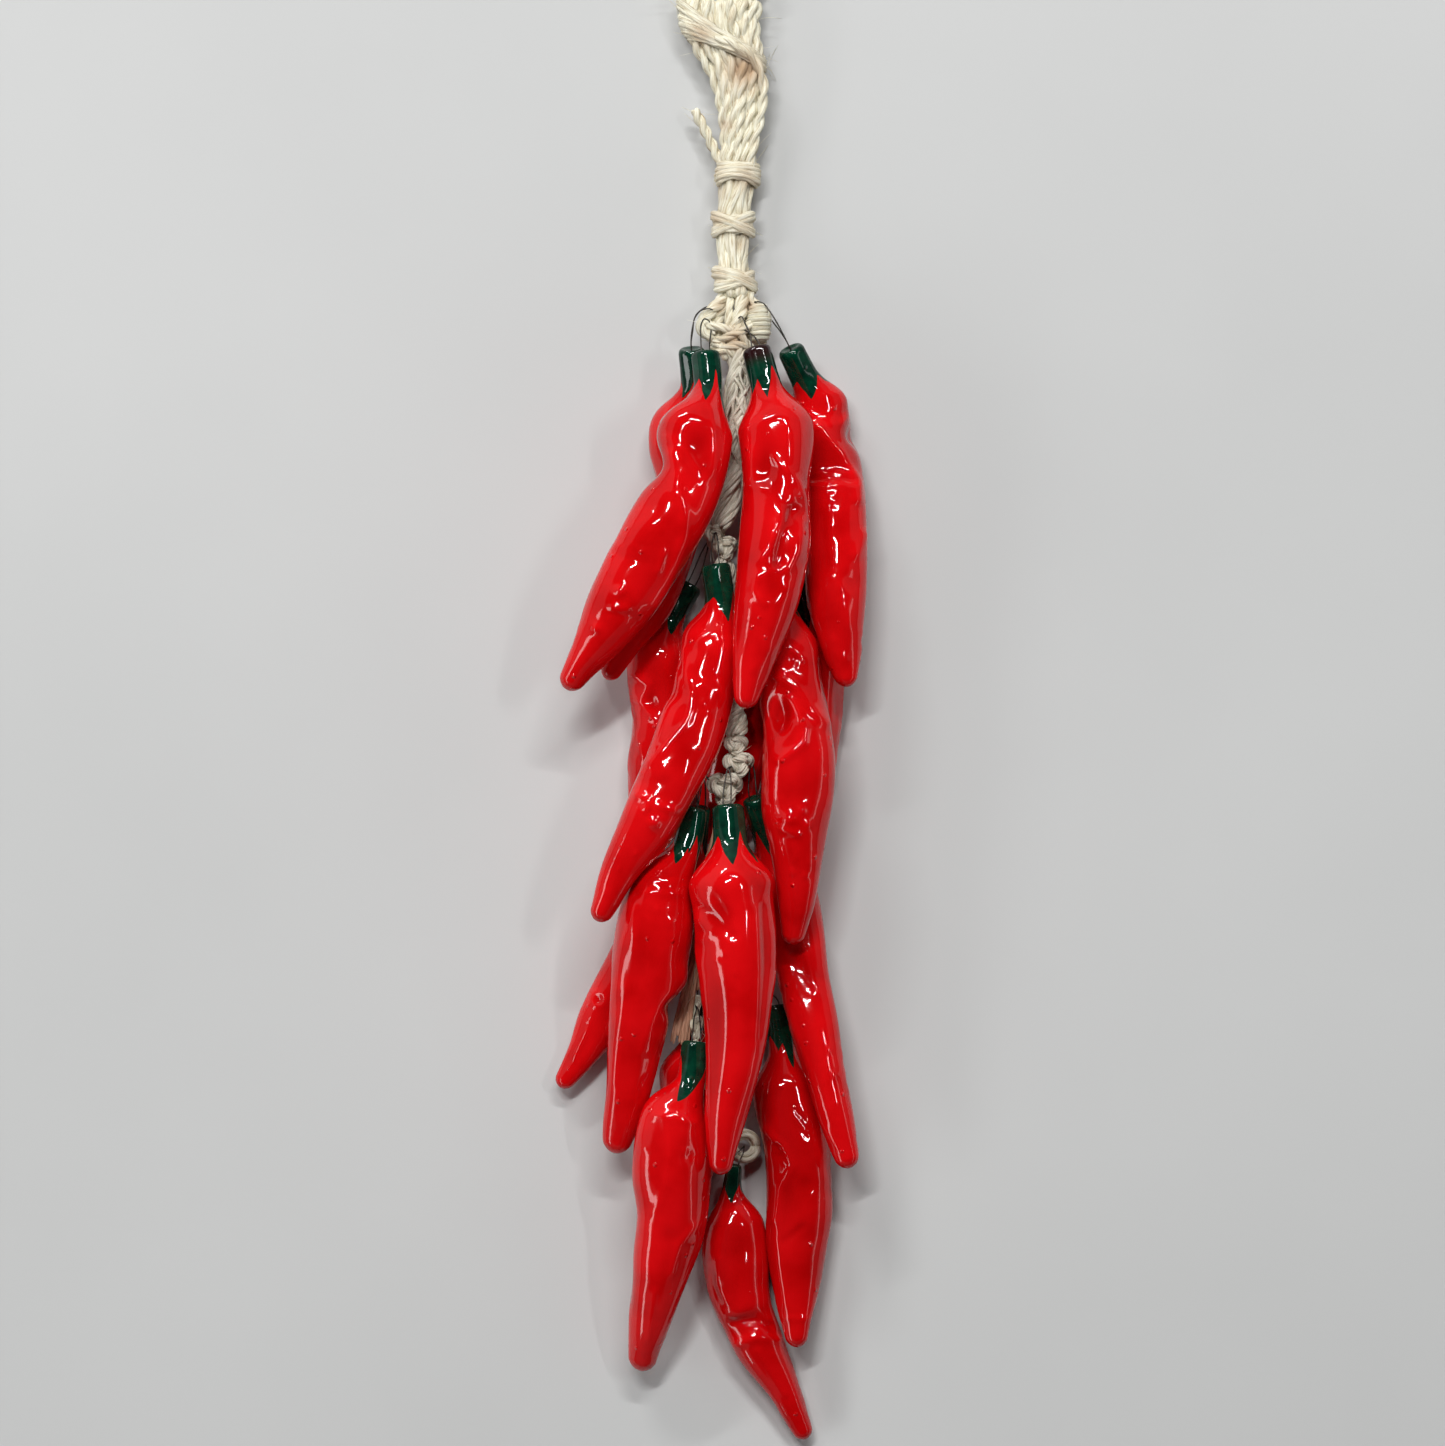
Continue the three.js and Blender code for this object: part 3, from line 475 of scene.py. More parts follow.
def make_lights():
    for name, light in LIGHTS.items():
        area_light(name, *light)
    world = bpy.data.worlds.new("studio")
    tree = Tree(world)
    split = tree.add("SeparateXYZ", {0: tree.add("TexCoord").outputs["Generated"]}).outputs
    walls = tree.ramp(split["Z"], [(up, (light, light, light * 1.02)) for up, light in WALLS])
    across = tree.span(split["X"], -0.3, 0.4, 1.0, RIGHT_SHARE)
    along = tree.span(split["Y"], -0.5, 0.3, BOTTOM_SHARE, 1.0)
    shaded = tree.mix(1.0, walls, across, blend="MULTIPLY")
    shaded = tree.mix(1.0, shaded, along, blend="MULTIPLY")
    tree.set(tree.nodes["Background"], {"Color": shaded})
    scene.world = world


# ---------------- materials: scales of noise are per metre, and on the rope per mm

SPECKS_PER_METRE = 110           # pimples in the glaze, where dust was fired into it


def new_material(name):
    material = bpy.data.materials.new(name)
    tree = Tree(material)
    return material, tree, tree.nodes["Principled BSDF"]


def glaze_material():
    """Thick red glaze with a hand-painted dark green stem and calyx under it."""
    material, tree, shader = new_material("red_and_green_glaze")
    place = tree.place()
    red = tree.ramp(tree.noise(place, 55, 4), [
        (0.3, (0.50, 0.0006, 0.0015)), (0.5, (0.62, 0.002, 0.0035)), (0.75, (0.70, 0.003, 0.005)),
    ])
    # Painted shade: the red darkens where a dent or crease presses the skin in, and on pods with a
    # "dark" share, which lie under the others.
    painted_shade = tree.span(tree.attribute("painted_shade"), 0.0, 2.2, 0.0, 0.65)
    green = tree.ramp(tree.noise(place, 260, 3), [
        (0.3, (0.0005, 0.016, 0.009)), (0.6, (0.001, 0.036, 0.018)), (0.85, (0.002, 0.07, 0.034)),
    ])
    stained = tree.mix(tree.attribute("stain"), green, (0.022, 0.0015, 0.004))
    painted = tree.span(tree.attribute("paint"), -0.12, 0.12)
    peeled = tree.bump(tree.noise(place, 300, 2), 0.2, 0.0002)
    specks = tree.add("TexVoronoi", {"Scale": SPECKS_PER_METRE, "Vector": place})
    speck = tree.span(specks.outputs["Distance"], 0.0, 0.12, 1.0, 0.0)
    tree.set(shader, {
        "Base Color": tree.mix(painted, tree.mix(painted_shade, red, (0.33, 0.0001, 0.0005)), stained),
        "Roughness": tree.span(tree.noise(place, 90, 2), 0.3, 0.75, 0.035, 0.08),
        "IOR": 1.5,
        "Normal": tree.bump(speck, 1.0, 0.0006, under=peeled),
    })
    return material


def sisal_material(name, pale, straw, tan):
    """Hairy fibre: streaks that run along each strand, which its UV map follows in mm."""
    material, tree, shader = new_material(name)
    strand = tree.add("UVMap", uv_map="strand").outputs["UV"]
    drawn_out = tree.add("Mapping", {"Vector": strand, "Scale": (0.1, 1.0, 1.0)})
    streaks = tree.noise(drawn_out.outputs["Vector"], 1.5, 5, roughness=0.65)
    colour = tree.ramp(streaks, [(0.33, tan), (0.46, straw), (0.58, pale), (0.8, pale)])
    patch = tree.span(tree.noise(strand, 0.05, 3), 0.55, 0.75, 0.0, 0.4)
    patched = tree.mix(patch, colour, tan)
    tree.set(shader, {
        "Base Color": tree.mix(tree.attribute("tan"), patched, (0.48, 0.31, 0.18)),
        "Roughness": 0.72,
        "Specular IOR Level": 0.3,
        "Normal": tree.bump(streaks, 0.9, 0.0006),
    })
    return material


def wire_material():
    material, tree, shader = new_material("dark_wire")
    grime = tree.noise(tree.place(), 420, 3)
    tree.set(shader, {
        "Base Color": tree.ramp(grime, [
            (0.3, (0.03, 0.026, 0.022)), (0.7, (0.09, 0.083, 0.075)),
        ]),
        "Metallic": 0.85,
        "Roughness": tree.span(grime, 0.3, 0.7, 0.3, 0.5),
    })
    return material


def floor_material():
    material, tree, shader = new_material("pale_floor")
    tree.set(shader, {
        "Base Color": tree.ramp(tree.noise(tree.place(), 3, 4), [
            (0.3, (0.52, 0.525, 0.52)), (0.7, (0.56, 0.565, 0.56)),
        ]),
        "Roughness": 0.7,
    })
    return material


# ---------------- curves


def unit(vectors):
    return vectors / np.linalg.norm(vectors, axis=-1, keepdims=True)


def distances_along(stations):
    """How far along each station is, seen from the front."""
    points = np.array(stations, float)[:, :2]
    return np.concatenate([[0], np.cumsum(np.hypot(*np.diff(points, axis=0).T))])


def smooth_curve(places, values, steady=False):
    """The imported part's own curve through values at places. A steady one never overshoots."""
    places = np.array(places, float)
    values = np.array(values, float)
    spans = np.diff(places)
    rise = np.diff(values) / spans
    before, after = rise[:-1], rise[1:]
    slope = np.concatenate([rise[:1], np.zeros(len(rise) - 1), rise[-1:]])
    if steady:
        same_way = before * after > 0
        total = np.where(same_way, before + after, 1)
        slope[1:-1] = np.where(same_way, 2 * before * after / total, 0)
    else:
        slope[1:-1] = (before * spans[1:] + after * spans[:-1]) / (spans[:-1] + spans[1:])

    def value(at):
        i = np.clip(np.searchsorted(places, at, side="left") - 1, 0, len(spans) - 1)
        u = (at - places[i]) / spans[i]
        return ((1 + 2 * u) * (1 - u) ** 2 * values[i]
                + u * (1 - u) ** 2 * spans[i] * slope[i]
                + u * u * (3 - 2 * u) * values[i + 1]
                - u * u * (1 - u) * spans[i] * slope[i + 1])

    return value


def directions(axis, at, end):
    """The way a curve of that length runs, at each place along it."""
    return unit(axis(np.minimum(at + 1, end)) - axis(np.maximum(at - 1, 0)))


def axes_across(direction):
    """The side (the viewer's right of a curve that runs down) and the front of a curve."""
    side = unit(np.cross([0, 0, 1], direction))
    return side, unit(np.cross(direction, side))


def shifted(centre, side, front, right, forward):
    """A curve moved to its right and to its front, by its own distance at each point."""
    return centre + side * right[:, None] + front * forward[:, None]


# ---------------- meshes


def make_object(name, vertices, faces, material, node=None, uvs=None, attributes=None):
    """A smooth-shaded piece that rides on the part and stands for the CAD node."""
    mesh = bpy.data.meshes.new(name)
    mesh.from_pydata(to_frame(vertices).tolist(), [], faces)
    mesh.validate()
    mesh.polygons.foreach_set("use_smooth", [True] * len(mesh.polygons))
    if uvs is not None:
        layer = mesh.uv_layers.new(name="strand")
        corner = np.zeros(len(mesh.loops), np.int32)
        mesh.loops.foreach_get("vertex_index", corner)
        layer.data.foreach_set("uv", np.asarray(uvs, np.float32)[corner].ravel())
    for key, values in (attributes or {}).items():
        layer = mesh.attributes.new(key, "FLOAT", "POINT")
        layer.data.foreach_set("value", np.asarray(values, np.float32))
    mesh.materials.append(material)
    piece = bpy.data.objects.new(name, mesh)
    scene.collection.objects.link(piece)
    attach(piece, "root")
    if node:
        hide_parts(node)


def closed_faces(rows, sides, start=0):
    """Quads between rings of points, and a fan at each end to one of the two points after them."""
    neighbours = [(j, (j + 1) % sides) for j in range(sides)]
    last = start + (rows - 1) * sides
    top, bottom = last + sides, last + sides + 1
    faces = [(row + j, row + sides + j, row + sides + k, row + k)
             for row in range(start, last, sides) for j, k in neighbours]
    for j, k in neighbours:
        faces += [(top, start + j, start + k), (bottom, last + k, last + j)]
    return faces


# ---------------- chillies

POD_SIDES = 96
STEM_STEP = 0.7                  # between rings on the stem and calyx
BODY_STEP = 1.1                  # between rings on the rest of a pod
STEM_ZONE = 30                   # how far down the rings are close together
TIP_RINGS = 10
STEM_RIBS = 5
RIB_DEPTH = 0.22
RIBS_END = 16                    # where the ribs have died away
STAIN_END = 9
SKIN_START = 14                  # where the random relief begins, and how much further down it
SKIN_RUN_IN = 16                 # has its full depth
SKIN_RUN_OUT = 12                # the length over which it dies away towards the tip
# The random relief's waves, as (wavelength, number of waves), and their depths.
BROAD_WAVES, BROAD_DEPTH = (26, 14), 0.5
FOLD_WAVES, FOLDED_AREAS, FOLD_DEPTH = (22, 10), (40, 6), 0.5
HAMMER_WAVES, HAMMERED_AREAS, HAMMER_DEPTH = (5.5, 16), (36, 8), 0.13
FOLD_STRETCH = 1.7               # how much longer than wide the folds in the skin are
FOLD_SOFTNESS = 0.2
MARKED_SHARE = 0.85              # of the random relief, which the listed marks take over
BRUSH_WAVES, BRUSH_WOBBLE = (5, 6), 0.3         # in the green's painted edge
# The stem's top from its middle outwards, as [place along, share of the half-width]: a cut
# face, a little hollow, with a rounded rim.
STEM_TOP = [
    [0.75, 0.25], [0.5, 0.5], [0.12, 0.7], [0.2, 0.82], [0.6, 0.92], [1.2, 0.975], [1.9, 1.0],
]


def wave_field(points, wavelength, count, rng):
    """An even, unrepeating relief between about -1 and 1: a sum of waves in random directions."""
    total = np.zeros(len(points))
    for _ in range(count):
        direction = rng.normal(size=3)
        direction /= np.linalg.norm(direction)
        length = wavelength * rng.uniform(0.75, 1.4)
        total += np.sin(points @ direction * 2 * np.pi / length + rng.uniform(0, 2 * np.pi))
    return total / math.sqrt(count)


def soft_fold(field):
    """A sharp-crested fold along each line where a field passes through nought."""
    return 0.8 - np.sqrt(field ** 2 + FOLD_SOFTNESS ** 2)


def distance_to_line(points, line):
    """How far points are from a line through given points, seen from the front."""
    nearest = np.full(len(points), np.inf)
    for start, end in zip(line[:-1], line[1:]):
        start, along = np.array(start, float), np.subtract(end, start).astype(float)
        share = np.clip((points - start) @ along / (along @ along), 0, 1)
        away = points - start - share[:, None] * along
        nearest = np.minimum(nearest, np.hypot(away[:, 0], away[:, 1]))
    return nearest


def mark_relief(marks, points, facing):
    """Ridges, creases and rings that are pressed into the pod's front."""
    relief = np.zeros(len(points))
    for width, height, *line in marks:
        if len(line) == 2 and np.ndim(line[1]) == 0:
            centre, radius = line
            away = np.abs(np.hypot(*(points - np.array(centre, float)).T) - radius)
        elif len(line) == 1:
            away = np.hypot(*(points - np.array(line[0], float)).T)
        else:
            away = distance_to_line(points, line)
        relief += height * np.exp(-(away / width) ** 2)
    return relief * np.clip(facing * 2.5, 0, 1)


def calyx_edge(calyx, degrees):
    """How far down the green reaches at each angle round the stem."""
    points = sorted([(d - 360 * math.floor((d + 180) / 360), mm) for d, mm in calyx])
    angle = np.array([d for d, _ in points])
    reach = np.array([mm for _, mm in points])
    angle = np.concatenate([angle[-1:] - 360, angle, angle[:1] + 360])
    reach = np.concatenate([reach[-1:], reach, reach[:1]])
    return np.interp(degrees, angle, reach)


def dent_depth(dents, along, angle, length, radius):
    """How deep the pod's dents are at each point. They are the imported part's own."""
    total = np.zeros_like(along)
    for place, degrees, dent_length, dent_width, depth in dents:
        turn = angle - math.radians(degrees)
        turn = np.arctan2(np.sin(turn), np.cos(turn))
        away = ((along - place) * length / dent_length) ** 2 + (turn * radius / dent_width) ** 2
        total += depth * np.exp(-away)
    return total


def pod_curve(pod):
    """A pod's length, its middle line, its half-width along it, and the radius of its tip."""
    stations, places = pod["stations"], distances_along(pod["stations"])
    length = places[-1]
    across = [smooth_curve(places, [s[i] for s in stations]) for i in (0, 1)]
    height = smooth_curve(places[DEPTH_STATIONS], pod["depth"], steady=True)
    width = smooth_curve(places, [s[2] for s in stations], steady=True)
    tip = stations[-1][2]

    def axis(at):
        return np.stack([across[0](at), across[1](at), height(at)], axis=-1)

    def half_width(at):
        into_tip = np.clip((at - (length - tip)) / tip, 0, 1)
        return width(at) * np.sqrt(1 - into_tip ** 2)

    return length, axis, half_width, tip


def pod_relief(name, seed, rng, base, at, turn, radius, length):
    """How far the skin stands out at each point, with random relief, ribs, marks and dents."""
    girth = radius.max()
    skin = np.stack([girth * np.cos(turn), girth * np.sin(turn), at / FOLD_STRETCH], axis=-1)
    broad = wave_field(skin, *BROAD_WAVES, rng)
    folds = soft_fold(wave_field(skin, *FOLD_WAVES, rng))
    where_folded = np.clip(wave_field(skin, *FOLDED_AREAS, rng) * 0.9 + 0.3, 0, 1)
    hammered = wave_field(base, *HAMMER_WAVES, rng)
    where_hammered = np.clip(wave_field(base, *HAMMERED_AREAS, rng) * 1.1 - 0.1, 0, 1)
    # The random relief gives way to the listed marks on a pod's front.
    free = 1 - MARKED_SHARE * np.clip(np.cos(turn) * 1.5, 0, 1) * (name in MARKS)
    skin_share = (np.clip((at - SKIN_START) / SKIN_RUN_IN, 0, 1)
                  * np.clip((length - at) / SKIN_RUN_OUT, 0, 1))
    rib_share = np.clip((RIBS_END - at) / 6, 0, 1) * np.clip(at / 2, 0, 1)
    ribs = np.cos(STEM_RIBS * turn + seed) * rib_share
    marks = mark_relief(MARKS.get(name, []), base[:, :2], np.cos(turn))
    dents = dent_depth(PODS[name]["dents"], at / length, turn, length, radius)
    return (skin_share * (BROAD_DEPTH * broad + FOLD_DEPTH * free * folds * where_folded
                          + HAMMER_DEPTH * free * hammered * where_hammered)
            + RIB_DEPTH * ribs + marks - dents)


def make_pod(name, seed, material):
    """Rings of points round the pod's middle line, which the relief moves in or out."""
    pod = PODS[name]
    rng = np.random.default_rng(seed)
    length, axis, half_width, tip = pod_curve(pod)
    top_places, top_shares = np.array(STEM_TOP).T
    stem = np.arange(top_places[-1] + STEM_STEP, STEM_ZONE, STEM_STEP)
    body = np.arange(STEM_ZONE, length - tip, BODY_STEP)
    end = length - tip + tip * np.sin(np.linspace(0.05, 0.97, TIP_RINGS) * np.pi / 2)
    places = np.concatenate([top_places, stem, body, end])
    shares = np.concatenate([top_shares, np.ones(len(places) - len(top_shares))])
    at = np.repeat(places, POD_SIDES)
    turn = np.tile(2 * np.pi * np.arange(POD_SIDES) / POD_SIDES, len(places))
    centre, radius = axis(at), half_width(at)
    side, front = axes_across(directions(axis, at, length))
    spoke = side * np.sin(turn)[:, None] + front * (POD_FLATNESS * np.cos(turn))[:, None]
    base = centre + spoke * radius[:, None]
    relief = pod_relief(name, seed, rng, base, at, turn, radius, length)
    points = centre + spoke * ((radius + relief) * np.repeat(shares, POD_SIDES))[:, None]
    points[:, 2] = np.maximum(points[:, 2], REST_LEVEL)
    hubs = axis(np.array([top_places[0] + 0.05, length]))
    # The green is where "paint", the distance to its edge, is more than nought.
    wobble = wave_field(base, *BRUSH_WAVES, rng) * BRUSH_WOBBLE
    degrees = np.degrees(np.arctan2(np.sin(turn), np.cos(turn)))
    paint = calyx_edge(pod.get("calyx", PLAIN_CALYX), degrees) + wobble - at
    # Painted shade: a darker red by how far the skin is pressed in, and by the pod's "dark" share.
    painted_shade = np.clip(-relief, 0, None) + pod.get("dark", 0)
    stain = np.clip((STAIN_END - at) / 5, 0, 1) * pod.get("stain", 0)
    make_object("glazed_" + name, np.concatenate([points, hubs]),
                closed_faces(len(places), POD_SIDES), material, "chilli_" + name,
                attributes={
                    "paint": np.concatenate([paint, [5, -99]]),
                    "painted_shade": np.concatenate([painted_shade, [0, 0]]),
                    "stain": np.concatenate([stain, [0, 0]]),
                })


# ---------------- strands

PLY_FULLNESS = 1.16              # plies press into each other
# Where the rope is a darker brown, as [x, y, size, strength].
TAN_PATCHES = [
    [9, 272, 8, 0.9], [-9, 287, 5, 0.6], [1, 249, 3, 0.5], [5, 160, 6, 0.7], [11, 174, 3, 0.7],
    [-1, 174, 3, 0.5], [8, 200, 4, 0.35], [-2, 221, 4, 0.35], [-2, 187, 4, 0.4], [-3, 152, 3, 0.4],
    [10, 227, 6, 0.45], [-2, 230, 5, 0.35], [-4, 210, 5, 0.45], [9, 206, 5, 0.4], [10, 185, 5, 0.4],
]


def along_path(path):
    return np.concatenate([[0], np.cumsum(np.linalg.norm(np.diff(path, axis=0), axis=1))])


def resampled(points, step):
    """A smooth curve through given points, as points about one step apart."""
    points = np.asarray(points, float)
    places = along_path(points)
    at = np.linspace(0, places[-1], int(places[-1] / step) + 1)
    return np.stack([smooth_curve(places, points[:, i])(at) for i in range(3)], axis=-1)


def tangents(path):
    return unit(np.gradient(path, axis=0))


def untwisted_frame(along):
    """Two axes across a path that turn with its direction as little as they can."""
    first = np.empty_like(along)
    previous = np.array([0, 0, 1.0])
    if abs(previous @ along[0]) > 0.95:
        previous = np.array([1.0, 0, 0])
    for i, direction in enumerate(along):
        previous = previous - (previous @ direction) * direction
        previous /= np.linalg.norm(previous)
        first[i] = previous
    return first, np.cross(along, first)


class Strands:
    """Closed tubes that are gathered into one mesh, with a UV map in mm along and round them."""

    def __init__(self, seed):
        self.rng = np.random.default_rng(seed)
        self.vertices, self.faces, self.uvs = [], [], []
        self.count = 0
        self.roots = []          # the tubes' paths and radii, for the fibres that stand off them

    def tube(self, path, radius, sides=10, flat=1.0, facing=None, ridges=0.07, taper=1.5):
        """A strand of fibres along a path. A flat one is thin in the direction it faces."""
        n, along, places = len(path), tangents(path), along_path(path)
        blunt = np.minimum(places, places[-1] - places) / taper
        radius = radius * (0.45 + 0.55 * np.sqrt(np.clip(blunt, 0, 1)))
        if facing is None:
            thin, wide = untwisted_frame(along)
        else:
            thin = unit(facing - np.sum(facing * along, axis=1, keepdims=True) * along)
            wide = np.cross(along, thin)
        angle = 2 * np.pi * np.arange(sides) / sides
        lobes, phase, wander = self.rng.integers(3, 6), *self.rng.uniform(0, 2 * np.pi, 2)
        bundle = 1 + ridges * np.cos(lobes * angle[None, :] + phase + places[:, None] * 0.12)
        uneven = 1 + 0.05 * np.sin(places / 3.1 + wander) + 0.04 * np.sin(places / 1.3 + phase)
        reach = radius[:, None] * bundle * uneven[:, None]
        ring = (path[:, None, :]
                + wide[:, None, :] * (reach * np.cos(angle))[:, :, None]
                + thin[:, None, :] * (reach * flat * np.sin(angle))[:, :, None])
        tip = along[[0, -1]] * [[-1], [1]] * radius[[0, -1], None] * 0.5
        self.vertices += [ring.reshape(-1, 3), path[[0, -1]] + tip]
        self.faces += [face[::-1] for face in closed_faces(n, sides, self.count)]
        self.count += n * sides + 2
        offset = self.rng.uniform(0, 400, 2)
        round_mm = np.tile(angle * radius.mean(), n)
        self.uvs += [np.stack([np.repeat(places, sides), round_mm], axis=-1) + offset,
                     np.array([[0, 0], [places[-1], 0]]) + offset]
        self.roots.append((path, radius))

    def cord(self, path, radius, pitch=16, plies=2, phase=0.0, sides=10, strands=1):
        """Plies twisted about a path. A ply of several strands is itself a loose cord."""
        places = along_path(path)
        first, second = untwisted_frame(tangents(path))
        radius = np.broadcast_to(radius, len(path))
        ply_radius = radius / (1 + 1 / math.sin(math.pi / plies)) * PLY_FULLNESS
        for k in range(plies):
            turn = 2 * np.pi * (places / pitch + k / plies) + phase
            offset = first * np.cos(turn)[:, None] + second * np.sin(turn)[:, None]
            ply = path + offset * (radius - ply_radius)[:, None]
            if strands == 1:
                self.tube(ply, ply_radius, sides=sides)
            else:
                self.cord(ply, ply_radius, pitch=pitch * 0.8, plies=strands, phase=k, sides=sides)
        if plies > 3:
            self.tube(path, radius - 1.5 * ply_radius, sides=sides)

    def finish(self, name, material, node):
        """Makes the piece, and hands the strands on for the fibres that stand off them."""
        vertices = np.concatenate(self.vertices)
        tan = np.zeros(len(vertices))
        for x, y, size, strength in TAN_PATCHES:
            away = np.hypot(vertices[:, 0] - x, vertices[:, 1] - y) / size
            tan = np.maximum(tan, strength * np.exp(-away ** 2))
        make_object(name, vertices, self.faces, material, node,
                    uvs=np.concatenate(self.uvs), attributes={"tan": tan})
        return self


def rope_curve(stations):
    """A rope piece's length, its middle line, and its sizes across."""
    places = distances_along(stations)
    x, y, height, *sizes = [smooth_curve(places, column, steady=i > 1)
                            for i, column in enumerate(zip(*stations))]

    def axis(at):
        return np.stack([x(at), y(at), height(at)], axis=-1)

    return places[-1], axis, sizes


def rope_frame(stations, step):
    """Places about one step apart along a rope piece, with its middle, axes and sizes there."""
    length, axis, sizes = rope_curve(stations)
    at = np.linspace(0, length, int(length / step) + 1)
    side, front = axes_across(directions(axis, at, length))
    return at, axis(at), side, front, *[size(at) for size in sizes]


def band_ring(angle, y, out):
    """Points round the neck at each angle and y, that far out from a band's inside."""
    length, axis, (half_width, half_thickness) = rope_curve(NECK)
    at = np.clip(NECK[0][1] - y, -3, length)
    spoke = np.stack([np.sin(angle), np.zeros_like(angle), np.cos(angle)], axis=-1)
    reach = np.stack([half_width(at), np.zeros_like(at), half_thickness(at)], axis=-1)
    out = np.broadcast_to(out, at.shape)[:, None]
    points = axis(at) + spoke * (reach * BAND_STANDOFF + out)
    points[:, 1] = y
    return points, spoke


def round_trip(angle, left, front, right, back):
    """A height that changes smoothly round the neck, with its value at each of the four sides."""
    return ((left + front + right + back) / 4
            + (front - back) / 2 * np.cos(angle)
            + (right - left) / 2 * np.sin(angle)
            + (front + back - left - right) / 4 * np.cos(2 * angle))


def trefoil(lobe, radius, phase):
    """An overhand knot's line, drawn in so that a cord of this radius fills the lobe."""
    t = np.linspace(0, 2 * np.pi, 80) + phase
    line = np.stack([
        (np.sin(t) + 2 * np.sin(2 * t)) / 2.8,
        (np.cos(t) - 2 * np.cos(2 * t)) / 2.8,
        -np.sin(3 * t),
    ], axis=-1)
    return np.array(lobe[:3]) + line * np.maximum(np.array(lobe[3:]) - radius, 0.6)


# ---------------- rope pieces

NECK_CORDS = 12                  # two-ply cords above the upper binding
CORD_OVERLAP = 1.12              # they press into each other
CORD_RADII = (1.7, 2.6)
CORD_SWAY_LENGTH = 75            # in which a cord strays to one side and back
CORD_LEAN = 0.004                # by which the cords go round the neck, in radians a mm
NECK_BUNDLES = 8                 # untwisted bundles below the upper binding
BUNDLE_RADIUS, BUNDLE_SWELL = 2.3, 0.7          # in a binding, and more between two
BUNDLE_SWAY_LENGTH = 42
PINCH_LENGTH = 8                 # from a binding to where the bundles have swollen fully
NECK_CORES = (-0.45, 0, 0.45)    # thick strands inside, as shares of the half-width
BAND_STANDOFF = 1.04             # how much wider than the neck a band is
BINDING_MIDDLES = {"binding_upper": 229, "binding_middle": 208, "binding_lower": 187}


def make_neck(material):
    """Two-ply cords that run together, and swelling bundles of fibre between the bindings."""
    strands = Strands(1)
    at, centre, side, front, half_width, half_thickness = rope_frame(NECK, 1.0)
    upper = centre[:, 1] > BINDING_MIDDLES["binding_upper"] - 2
    lower = centre[:, 1] < BINDING_MIDDLES["binding_upper"] + 2
    ring_length = 2 * np.pi * np.sqrt((half_width ** 2 + half_thickness ** 2) / 2)
    radius = np.clip(ring_length / NECK_CORDS * (CORD_OVERLAP / 2), *CORD_RADII)

    def beside(angle, inset):
        return shifted(centre, side, front, (half_width - inset) * np.sin(angle),
                       (half_thickness - inset) * np.cos(angle))

    for k in range(NECK_CORDS):
        drift, phase = strands.rng.uniform(0.08, 0.24), strands.rng.uniform(0, 2 * np.pi)
        angle = (2 * np.pi * (k + 0.5) / NECK_CORDS
                 + drift * np.sin(2 * np.pi * at / CORD_SWAY_LENGTH + phase) - CORD_LEAN * at)
        path = beside(angle, radius - 0.4 * np.sin(phase))
        strands.cord(path[upper], radius[upper], pitch=strands.rng.uniform(14, 19), phase=phase)
    pinch = np.min([np.abs(centre[:, 1] - y) for y in BINDING_MIDDLES.values()], axis=0)
    swell = np.clip(pinch / PINCH_LENGTH, 0, 1)
    thick = BUNDLE_RADIUS + BUNDLE_SWELL * swell
    for k in range(NECK_BUNDLES):
        phase = strands.rng.uniform(0, 2 * np.pi)
        sway = 0.3 * np.sin(2 * np.pi * at / BUNDLE_SWAY_LENGTH + phase)
        path = beside(2 * np.pi * k / NECK_BUNDLES + sway, thick - 0.5 * swell)
        strands.cord(path[lower], thick[lower], pitch=70, plies=3, phase=phase, sides=12)
    for share in NECK_CORES:
        core = centre + side * ((half_width - 3) * share)[:, None]
        strands.tube(core, np.maximum(half_thickness - 2.6, 2), sides=12)
    return strands.finish("neck_cords", material, "rope_neck")


LOOP_CORDS = 3
LOOP_CORD_RADIUS = 2.5
LOOP_PLAIT = 30                  # the length in which a cord crosses the plait and comes back


def make_loop(material):
    """A flat plait of three cords, whose feet go down into the neck."""
    strands = Strands(2)
    sweep = np.pi * np.linspace(0, 1, 190)
    bow = np.clip(np.sin(sweep), 0, 1)
    spread, y, height = [foot + (crown - foot) * bow ** fullness for foot, crown, fullness
                         in zip(LOOP_FOOT, LOOP_CROWN, LOOP_FULLNESS)]
    bend = np.stack([spread * np.cos(sweep), y, height], axis=-1)
    tuck_x, tuck_y, tuck_height = LOOP_TUCK
    centre = resampled([[tuck_x, tuck_y, tuck_height], *bend[::6], bend[-1],
                        [-tuck_x, tuck_y, tuck_height]], 0.9)
    side, front = axes_across(tangents(centre))
    inset = LOOP_HALF_WIDTH - LOOP_CORD_RADIUS
    for k in range(LOOP_CORDS):
        turn = 2 * np.pi * (along_path(centre) / LOOP_PLAIT + k / LOOP_CORDS)
        path = shifted(centre, side, front, inset * np.sin(turn),
                       (LOOP_HALF_WIDTH - 0.4 - LOOP_CORD_RADIUS) * 0.8 * np.sin(2 * turn))
        strands.cord(path, LOOP_CORD_RADIUS, pitch=13, phase=k * 2.1)
    return strands.finish("loop_plait", material, "hanging_loop")


WRAP_MIDDLE = 284
WRAP_HEIGHT = 12
WRAP_DIP = 10                    # how much lower than its middle it is at the right
WRAP_FIBRES = 24                 # flat bundles that make up the slanting wrap
# The wrap's fibres run on as a cord down the neck's right-hand edge.
WRAP_CORD = [
    [-3, 286, 20.5], [3, 283.5, 21.3], [9, 280, 20.8], [14, 275, 19], [17, 267, 17.4],
    [16.4, 256, 17], [14, 245, 17.2], [11.6, 234, 17.6], [10.6, 227, 17.2],
]


